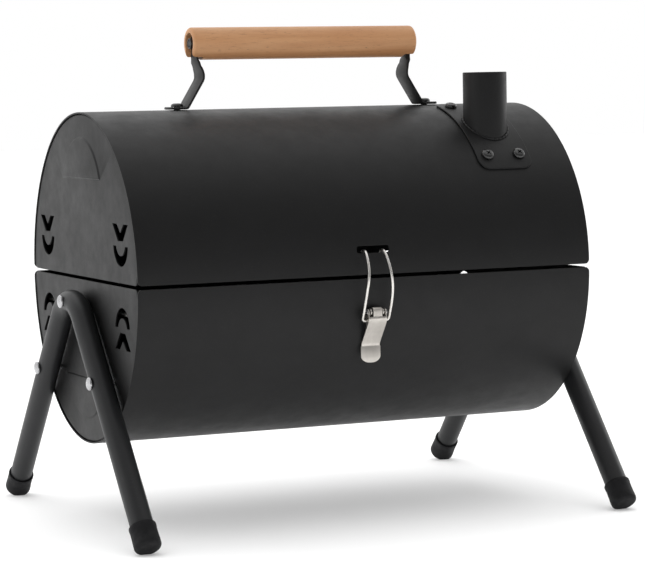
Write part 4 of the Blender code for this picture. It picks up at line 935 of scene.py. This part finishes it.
def strap_route():
    """Centre line and half width (x, z, half width) of the right strap, foot tip to eye."""
    foot_z = LID_CREST_Z + FIT + STRAP / 2
    wide, neck = STRAP_WIDTH / 2, STRAP_NECK_WIDTH / 2
    elbow_x = STRAP_EYE_X - 0.0036
    foot_in = STRAP_EYE_X + 0.0092
    toe_x = STRAP_FOOT_SCREW + STRAP_TOE
    foot = [(toe_x, foot_z + 0.0005, wide - 0.0022), (toe_x - 0.0008, foot_z + 0.0002, wide - 0.0007),
            (toe_x - 0.0022, foot_z, wide), (toe_x - 0.0040, foot_z, wide),
            (foot_in + 0.0016, foot_z, wide)]
    heel = [(foot_in + 0.0003, foot_z + 0.0003, wide), (foot_in - 0.0005, foot_z + 0.0014, wide)]
    shin = [(elbow_x + 0.0010, HANDLE_Z - 0.0280, wide), (elbow_x + 0.0001, HANDLE_Z - 0.0256, wide),
            (elbow_x + 0.0001, HANDLE_Z - 0.0225, wide - 0.0001)]
    neck_in = [(elbow_x + 0.0009, HANDLE_Z - 0.0192, wide - 0.0007),
               (elbow_x + 0.0020, HANDLE_Z - 0.0164, wide - 0.0020),
               (elbow_x + 0.0028, HANDLE_Z - 0.0140, neck + 0.0020),
               (elbow_x + 0.0034, HANDLE_Z - 0.0115, neck + 0.0003), (STRAP_EYE_X, HANDLE_Z - 0.0080, neck)]
    route = foot + smooth_route(heel, 4) + smooth_route(shin + neck_in, 4)
    for i in range(19):
        rise = -STRAP_EYE_RADIUS * cos(radians(36 + 143.5 * i / 18))
        half = sqrt(max(STRAP_EYE_RADIUS ** 2 - rise ** 2, 0.0))
        route.append((STRAP_EYE_X, HANDLE_Z + rise, half))
    return route


def make_handle():
    route = strap_route()
    for side_name, side in SIDES:
        node = "handle_bracket_" + side_name
        path = [(side * x, z) for x, z, _ in route]
        strap = strip(node, path, [w for _, _, w in route], 'Y', STRAP)
        screw_x = side * STRAP_FOOT_SCREW
        hole = cylinder(along((0, 0, 1), (screw_x, 0, LID_CREST_Z)), SCREW_SHANK + FIT, 0.012)
        eye = cylinder(along((1, 0, 0), (side * STRAP_EYE_X, 0, HANDLE_Z)), ROD_RADIUS + FIT, 0.006)
        boolean(strap, [hole, eye])
        finish(soften(strap, 0.0003), SHEET_BLACK, "lid", [node], 50.0)
        grip_length = STRAP + SHEET + 2 * FIT + NUT_HEIGHT + 0.0012
        pan_screw("handle_screw_" + side_name, at(screw_x, 0, LID_CREST_Z + FIT + STRAP), grip_length,
                  20 * side + 10)
        node = "handle_screw_nut_" + side_name
        below = at(screw_x, 0, LID_CREST_Z - SHEET - 2 * FIT)
        hex_nut(node + "_fine", below, SCREW_SHANK + FIT, ZINC, [node])
        node = "handle_rod_nut_" + side_name
        outside = along((-side, 0, 0), (side * (STRAP_EYE_X + STRAP / 2 + FIT), 0, HANDLE_Z))
        # The rod nuts sit inside the bore; their darker zinc is painted shade.
        hex_nut(node + "_fine", outside, ROD_RADIUS + FIT, ZINC_PAINTED_SHADE, [node])
    centre = along((1, 0, 0), (0, 0, HANDLE_Z))
    rod_half = STRAP_EYE_X + STRAP / 2 + FIT + NUT_HEIGHT
    profile = [(0.0, rod_half), (ROD_RADIUS - 0.0005, rod_half), (ROD_RADIUS, rod_half - 0.0005)]
    # The rod takes the same darker zinc, painted shade inside the bore.
    piece("handle_rod", turned_mesh(mirrored(profile), 28), ZINC_PAINTED_SHADE, "lid", centre)
    half = HANDLE_LENGTH / 2
    r, lip = HANDLE_ROUND, HANDLE_MOUTH_ROUND
    rounding = arc((HANDLE_RADIUS - r, half - r), r, 0.0, 90.0, 10)
    mouth = arc((HANDLE_BORE + lip, half - lip), lip, 90.0, 180.0, 5)
    grip = new_object("handle_grip_fine", turned_mesh(mirrored(rounding + mouth), 96, closed=True), centre)
    for side in (-1, 1):
        outline = rounded_rectangle((0.0, 0.0), 2 * HANDLE_NOTCH_DEPTH, HANDLE_NOTCH_WIDTH, 0.0016, 6)
        depth = HANDLE_RADIUS + 0.002
        notch = plate_mesh([outline], depth)
        boolean(grip, [new_object("notch", notch, at(side * half, 0, HANDLE_Z - depth / 2))])
    finish(grip, BEECH, "lid", ["handle_grip"], 50.0)


# ---- chimney

def saddle_frame(theta, radius):
    angle = radians(theta)
    outwards = Vector((0.0, -sin(angle), cos(angle)))
    upwards = Vector((0.0, cos(angle), sin(angle)))
    matrix = Matrix((Vector((1, 0, 0)), upwards, outwards)).transposed().to_4x4()
    return Matrix.Translation(Vector((CHIMNEY_X, 0, LID_AXIS_Z)) + radius * outwards) @ matrix


def flue_cutter():
    return cylinder(at(CHIMNEY_X, CHIMNEY_Y, LID_CREST_Z), CHIMNEY_RADIUS - CHIMNEY_WALL, 0.12, 64)


def make_chimney():
    inner_radius = BARREL_RADIUS + FIT
    outer_radius = inner_radius + SHEET
    centre = degrees(asin(-CHIMNEY_Y / BARREL_RADIUS))
    steps = 64
    sections = []
    for i in range(steps + 1):
        angle = radians(centre + (SADDLE_SPAN + 8.0) * (i / steps - 0.5))
        sections.append([(x, -radius * sin(angle), LID_AXIS_Z + radius * cos(angle))
                         for x in (CHIMNEY_X - SADDLE_WIDTH, CHIMNEY_X + SADDLE_WIDTH)
                         for radius in (outer_radius, inner_radius)])
    saddle = rolled_sheet("chimney_saddle_fine", sections)
    chord = 2 * outer_radius * sin(radians(SADDLE_SPAN / 2))
    outline = rounded_rectangle((0.0, 0.0), SADDLE_WIDTH, chord, SADDLE_CORNER, 12)
    window = new_object("window", plate_mesh([outline], 0.060), saddle_frame(centre, outer_radius))
    boolean(saddle, [window], 'INTERSECT')
    boolean(saddle, [flue_cutter()])
    finish(soften(saddle, 0.0003), SHEET_BLACK, "lid", ["chimney_saddle"], 50.0)
    true_round(saddle, LID_AXIS_Z)
    inner = CHIMNEY_RADIUS - CHIMNEY_WALL
    top, bottom = tube_high.z, LID_AXIS_Z + 0.080
    rim = arc((CHIMNEY_RADIUS - CHIMNEY_WALL / 2, top - CHIMNEY_WALL / 2), CHIMNEY_WALL / 2, 0.0, 180.0, 8)
    profile = [(CHIMNEY_RADIUS, bottom)] + rim + [(inner, bottom)]
    place = at(CHIMNEY_X, CHIMNEY_Y, 0.0)
    tube = new_object("chimney_tube_fine", turned_mesh(profile, 96, closed=True), place)
    boolean(tube, [cylinder(along((1, 0, 0), (CHIMNEY_X, 0, LID_AXIS_Z)), outer_radius + FIT, 0.1, 240)])
    finish(tube, SHEET_BLACK, "lid", ["chimney_tube"], 50.0)
    weld_bead(outer_radius)
    twist = {"upper_left": 12, "upper_right": 38, "lower_left": 48, "lower_right": 33}
    grip_length = 2 * SHEET + 2 * FIT + NUT_HEIGHT + 0.001
    for row_name, row in (("upper", -1), ("lower", 1)):
        for side_name, side in SIDES:
            place = row_name + "_" + side_name
            x = CHIMNEY_X + side * SADDLE_SCREW_X / 2
            theta = centre + row * SADDLE_SCREW_SPAN / 2
            outside = on_barrel(x, theta, outer_radius, LID_AXIS_Z)
            pan_screw("chimney_screw_" + place, outside, grip_length, twist[place])
            inside = on_barrel(x, theta, BARREL_INSIDE - FIT, LID_AXIS_Z)
            hex_nut("chimney_nut_" + place, inside, SCREW_SHANK + FIT, ZINC)


def weld_bead(saddle_radius):
    """An uneven fillet of weld round the foot of the tube, painted over."""
    count = 150
    reach = CHIMNEY_RADIUS + 0.0003
    points, radii = [], []
    for i in range(count):
        angle = 2 * pi * i / count
        x = CHIMNEY_X + reach * cos(angle)
        y = CHIMNEY_Y + reach * sin(angle)
        z = LID_AXIS_Z + sqrt(saddle_radius ** 2 - y * y) + 0.0003
        points.append((x, y, z))
        ripple = 0.16 * sin(31 * angle) + 0.12 * sin(7 * angle + 1.3) + 0.08 * sin(53 * angle)
        radii.append(1.0 + ripple)
    bead = new_object("chimney_weld", wire_mesh(points, 0.0010, 4, radii, closed=True))
    return finish(bead, SHEET_BLACK, "lid", (), 80.0)


# ---- latch

def side_plates(obj, outline, holes, inner_half):
    """Join a plate to each side of a latch piece, inner_half from its middle."""
    for side in (-1, 1):
        x = LATCH_X + side * (inner_half + LATCH_PLATE / 2)
        plate = new_object("side_plate", plate_mesh([outline] + holes, LATCH_PLATE), facing_x(x))
        boolean(obj, [plate], 'UNION')


def make_latch_base():
    radius = BARREL_RADIUS + FIT + LATCH_PLATE / 2
    seam_half = SEAM_Z - LOWER_AXIS_Z
    path = []
    for i in range(13):
        angle = radians(theta_at(LATCH_PLATE_DROP + LATCH_PLATE_HEIGHT * i / 12 - seam_half))
        path.append((-radius * sin(angle), LOWER_AXIS_Z + radius * cos(angle)))
    half_width = LATCH_EAR_IN + LATCH_PLATE
    base = strip("latch_base", path, [half_width] * len(path), 'X', LATCH_PLATE, at(LATCH_X, 0, 0))
    fulcrum = (LATCH_Y, LATCH_Z)
    ear = arc(fulcrum, LATCH_EAR_RADIUS, 20.0, 215.0, 28) + [path[7], path[0]]
    bore = circle(fulcrum, LATCH_PIN_RADIUS + FIT, 28)
    side_plates(base, ear, [bore], LATCH_EAR_IN)
    finish(soften(base), NICKEL, "lower_half", ["latch_base"], 40.0)
    for place, drop in LATCH_RIVET_DROPS.items():
        matrix = on_barrel(LATCH_X, theta_at(drop), BARREL_RADIUS + FIT + LATCH_PLATE, LOWER_AXIS_Z)
        small_rivet("latch_base_rivet_" + place, matrix, LATCH_PLATE + SHEET + 2 * FIT, NICKEL, "lower_half")
    headed_pin("latch_pin", (LATCH_X, *fulcrum), LATCH_PIN_RADIUS, LEVER_HALF_WIDTH + FIT, **LATCH_PIN_HEAD)


def make_latch_lever():
    """Pressed lever: bent-over neck, shoulders, slanting body, rounded upright tongue."""
    y, z = LATCH_Y, LATCH_Z
    web_y, shoulder_z = y - LEVER_WEB_OUT, z - LEVER_SHOULDER_DROP
    knee = (web_y + 0.0002, z - LEVER_KNEE_DROP)
    tongue_z = z - LEVER_TONGUE_DROP
    below_axis = LOWER_AXIS_Z - tongue_z
    tongue_y = -sqrt(BARREL_RADIUS ** 2 - below_axis ** 2) - LEVER_TONGUE_GAP - LATCH_PLATE / 2
    hook = smooth_route([(y - 0.0004, z + 0.0031), (y - 0.0014, z + 0.0030), (y - 0.0022, z + 0.0024),
                         (y - 0.0027, z + 0.0013), (web_y, z - 0.0010), (web_y, shoulder_z + FIT)], 3)
    middle = ((knee[0] + tongue_y) / 2, (knee[1] + tongue_z) / 2)
    slope = smooth_route([(web_y, shoulder_z), knee, middle, (tongue_y - 0.0010, tongue_z + 0.0016),
                          (tongue_y - 0.0002, tongue_z), (tongue_y, tongue_z - 0.0012)], 4)
    path = hook + slope
    widths = [LEVER_NECK] * len(hook) + [LEVER_HALF_WIDTH] * len(slope)
    straight = z - LEVER_TIP_DROP + LEVER_TIP_ROUND
    path += [(tongue_y, tongue_z - 0.0015), (tongue_y, straight)]
    widths += [LEVER_TONGUE, LEVER_TONGUE]
    for i in range(1, 15):
        angle = radians(88.5 * i / 14)
        path.append((tongue_y - 0.0004 * sin(angle), straight - LEVER_TIP_ROUND * sin(angle)))
        widths.append(LEVER_TONGUE * cos(angle))
    lever = strip("latch_lever", path, widths, 'X', LATCH_PLATE, at(LATCH_X, 0, 0))
    bail = (BAIL_Y, BAIL_Z)
    share = (LEVER_FLANGE_DROP - LEVER_KNEE_DROP) / (LEVER_TONGUE_DROP - LEVER_KNEE_DROP)
    foot = (knee[0] + share * (tongue_y - knee[0]), z - LEVER_FLANGE_DROP)
    flange = arc((y, z), LEVER_EYE_RADIUS, 0.0, 180.0, 20) + [(web_y, shoulder_z), knee, foot]
    flange += arc(bail, LEVER_EYE_RADIUS, -50.0, 20.0, 10)
    holes = [circle((y, z), LATCH_PIN_RADIUS + FIT, 28), circle(bail, BAIL_WIRE + FIT, 28)]
    side_plates(lever, flange, holes, LEVER_FLANGE_IN)
    finish(soften(lever), NICKEL, "latch_lever", ["latch_lever"], 40.0)


def make_bail():
    """Sprung wire bail: bowed sides, ends turned in through the lever, bar in the lid's slot."""
    bar_z = LATCH_SLOT_Z + 2 * FIT + BAIL_WIRE
    inner = sqrt(BARREL_INSIDE ** 2 - (bar_z - LID_AXIS_Z) ** 2)
    bar_y = -(inner - BAIL_WIRE - FIT)
    y, z = BAIL_Y, BAIL_Z
    rise = bar_z - z
    side = [(LEVER_FLANGE_IN - 2 * FIT, y, z), (0.0086, y, z), (0.0101, y - 0.0003, z + 0.0010),
            (0.0103, y - 0.0018, z + 0.08 * rise), (0.0103, y - 0.0055, z + 0.25 * rise),
            (0.0100, y - 0.0085, z + 0.43 * rise), (0.0092, y - 0.0098, z + 0.59 * rise),
            (0.0084, y - 0.0086, z + 0.75 * rise), (0.0078, y - 0.0048, z + 0.90 * rise),
            (0.0074, y - 0.0010, z + 0.985 * rise), (0.0073, y + 0.0018, bar_z),
            (0.0072, bar_y - 0.0003, bar_z), (0.0070, bar_y + 0.0006, bar_z - 0.0012),
            (0.0064, bar_y + 0.0007, bar_z - 0.0027), (0.0045, bar_y + 0.0007, bar_z - 0.0029)]
    points = side + [(-px, py, pz) for px, py, pz in reversed(side)]
    route = smooth_route([(LATCH_X + px, py, pz) for px, py, pz in points], 6)
    piece("latch_bail", wire_mesh(route, BAIL_WIRE, 6), BRIGHT_WIRE, "latch_bail", sharp=60.0)


# ---- assembly

def make_barrel():
    lid = half_shell("lid_shell", 1, LID_AXIS_Z)
    slot = plate_mesh([rounded_rectangle((0.0, 0.0), *LATCH_SLOT, LATCH_SLOT_ROUND, 8)], 0.020)
    place = at(LATCH_X, -BARREL_RADIUS, LATCH_SLOT_Z + LATCH_SLOT[1] / 2)
    place = place @ Matrix.Rotation(radians(90), 4, 'X')
    boolean(lid, [new_object("slot", slot, place), flue_cutter()])
    lower = half_shell("lower_shell", -1, LOWER_AXIS_Z)
    for shell, body, node, axis_z in ((lid, "lid", "lid_shell", LID_AXIS_Z),
                                      (lower, "lower_half", "lower_shell", LOWER_AXIS_Z)):
        finish(soften(shell, 0.00025), SHEET_BLACK, body, [node], 40.0)
        true_round(shell, axis_z)
    rivets = []
    for place in ("top", "front", "back"):
        centre = centre_of("leg_rivet_left_" + place)
        rivets.append((centre.y, LOWER_AXIS_Z - centre.z))
    for side_name, side in SIDES:
        pressed_end("lid_end_" + side_name, side, 1, LID_AXIS_Z, "lid", [])
        pressed_end("lower_end_" + side_name, side, -1, LOWER_AXIS_Z, "lower_half", rivets)


def make_camera():
    yaw, pitch, roll = (radians(value) for value in CAMERA_TURN)
    back = Vector((sin(yaw) * cos(pitch), -cos(yaw) * cos(pitch), sin(pitch)))
    right = Vector((cos(yaw), sin(yaw), 0.0))
    up = back.cross(right)
    across = cos(roll) * right + sin(roll) * up
    upright = cos(roll) * up - sin(roll) * right
    turn = Matrix((across, upright, back)).transposed().to_4x4()
    data = bpy.data.cameras.new("camera")
    data.lens = CAMERA_LENS
    data.sensor_width = 36.0
    data.clip_start = 0.01
    bpy.context.scene.camera = new_object("camera", data, at(*CAMERA_PLACE) @ turn, STAGE)


def area_light(name, place, size, power):
    data = bpy.data.lights.new(name, 'AREA')
    data.shape = 'RECTANGLE'
    data.size, data.size_y = size
    data.energy = power
    new_object(name, data, along(Vector(place) - Vector(LIGHT_TARGET), place), STAGE)


def floor_sun(floor):
    """A wide soft sun for the floor alone, so that it's as pale as the surround."""
    data = bpy.data.lights.new("floor_sun", 'SUN')
    data.energy = 2.0
    data.angle = radians(80.0)
    data.use_shadow = False
    sun = new_object("floor_sun", data, collection=STAGE)
    lit = bpy.data.collections.new("lit_by_floor_sun")
    lit.objects.link(floor)
    sun.light_linking.receiver_collection = lit


def make_surround():
    """A pale surround that is darker in front; the camera itself sees it white."""
    nodes = Nodes(bpy.data.worlds.new("studio"))
    direction = nodes.add('SeparateXYZ', Vector=nodes.coordinates["Generated"])
    facing = nodes.ramp(direction.outputs["Y"], -0.80, 0.60, 0.30, 1.00, 'SMOOTHSTEP')
    seen = nodes.add('LightPath').outputs["Is Camera Ray"]
    choose = nodes.add('Mix')
    choose.data_type = 'FLOAT'
    for index, value in ((0, seen), (2, facing), (3, 1.0)):
        nodes.put(choose.inputs[index], value)
    background = nodes.tree.nodes["Background"]
    nodes.put(background.inputs["Strength"], choose.outputs[0])
    nodes.put(background.inputs["Color"], (1.0, 1.0, 1.0, 1.0))
    bpy.context.scene.world = nodes.owner


def make_studio():
    """Pale floor, the surround, four soft boxes and the floor's own sun."""
    bm = bmesh.new()
    bmesh.ops.create_grid(bm, x_segments=1, y_segments=1, size=12.0)
    floor = new_object("floor", mesh_from(bm, "floor"), collection=STAGE)
    paint = Nodes(bpy.data.materials.new("pale_floor"))
    tone = paint.mix(paint.noise(3.0), (0.86, 0.86, 0.86), (0.88, 0.88, 0.88))
    floor.data.materials.append(paint.finish(tone, 0.9))
    make_surround()
    area_light("back_box", (-0.1, 1.2, 1.2), (2.2, 1.6), 3.5)
    area_light("top_box", (0.1, 0.1, 1.7), (2.2, 1.6), 5.0)
    area_light("left_box", (-1.7, 0.1, 0.6), (1.0, 1.2), 1.6)
    area_light("right_box", (1.7, 0.2, 0.7), (1.0, 1.0), 4.0)
    floor_sun(floor)
    bpy.context.scene.view_settings.view_transform = 'Standard'


make_barrel()
angle, foot_z = leg_angle()
make_legs(angle, foot_z)
make_cooking_grid()
make_charcoal_grate()
make_rests()
make_hinges()
make_handle()
make_chimney()
make_latch_base()
make_latch_lever()
make_bail()
make_camera()
make_studio()
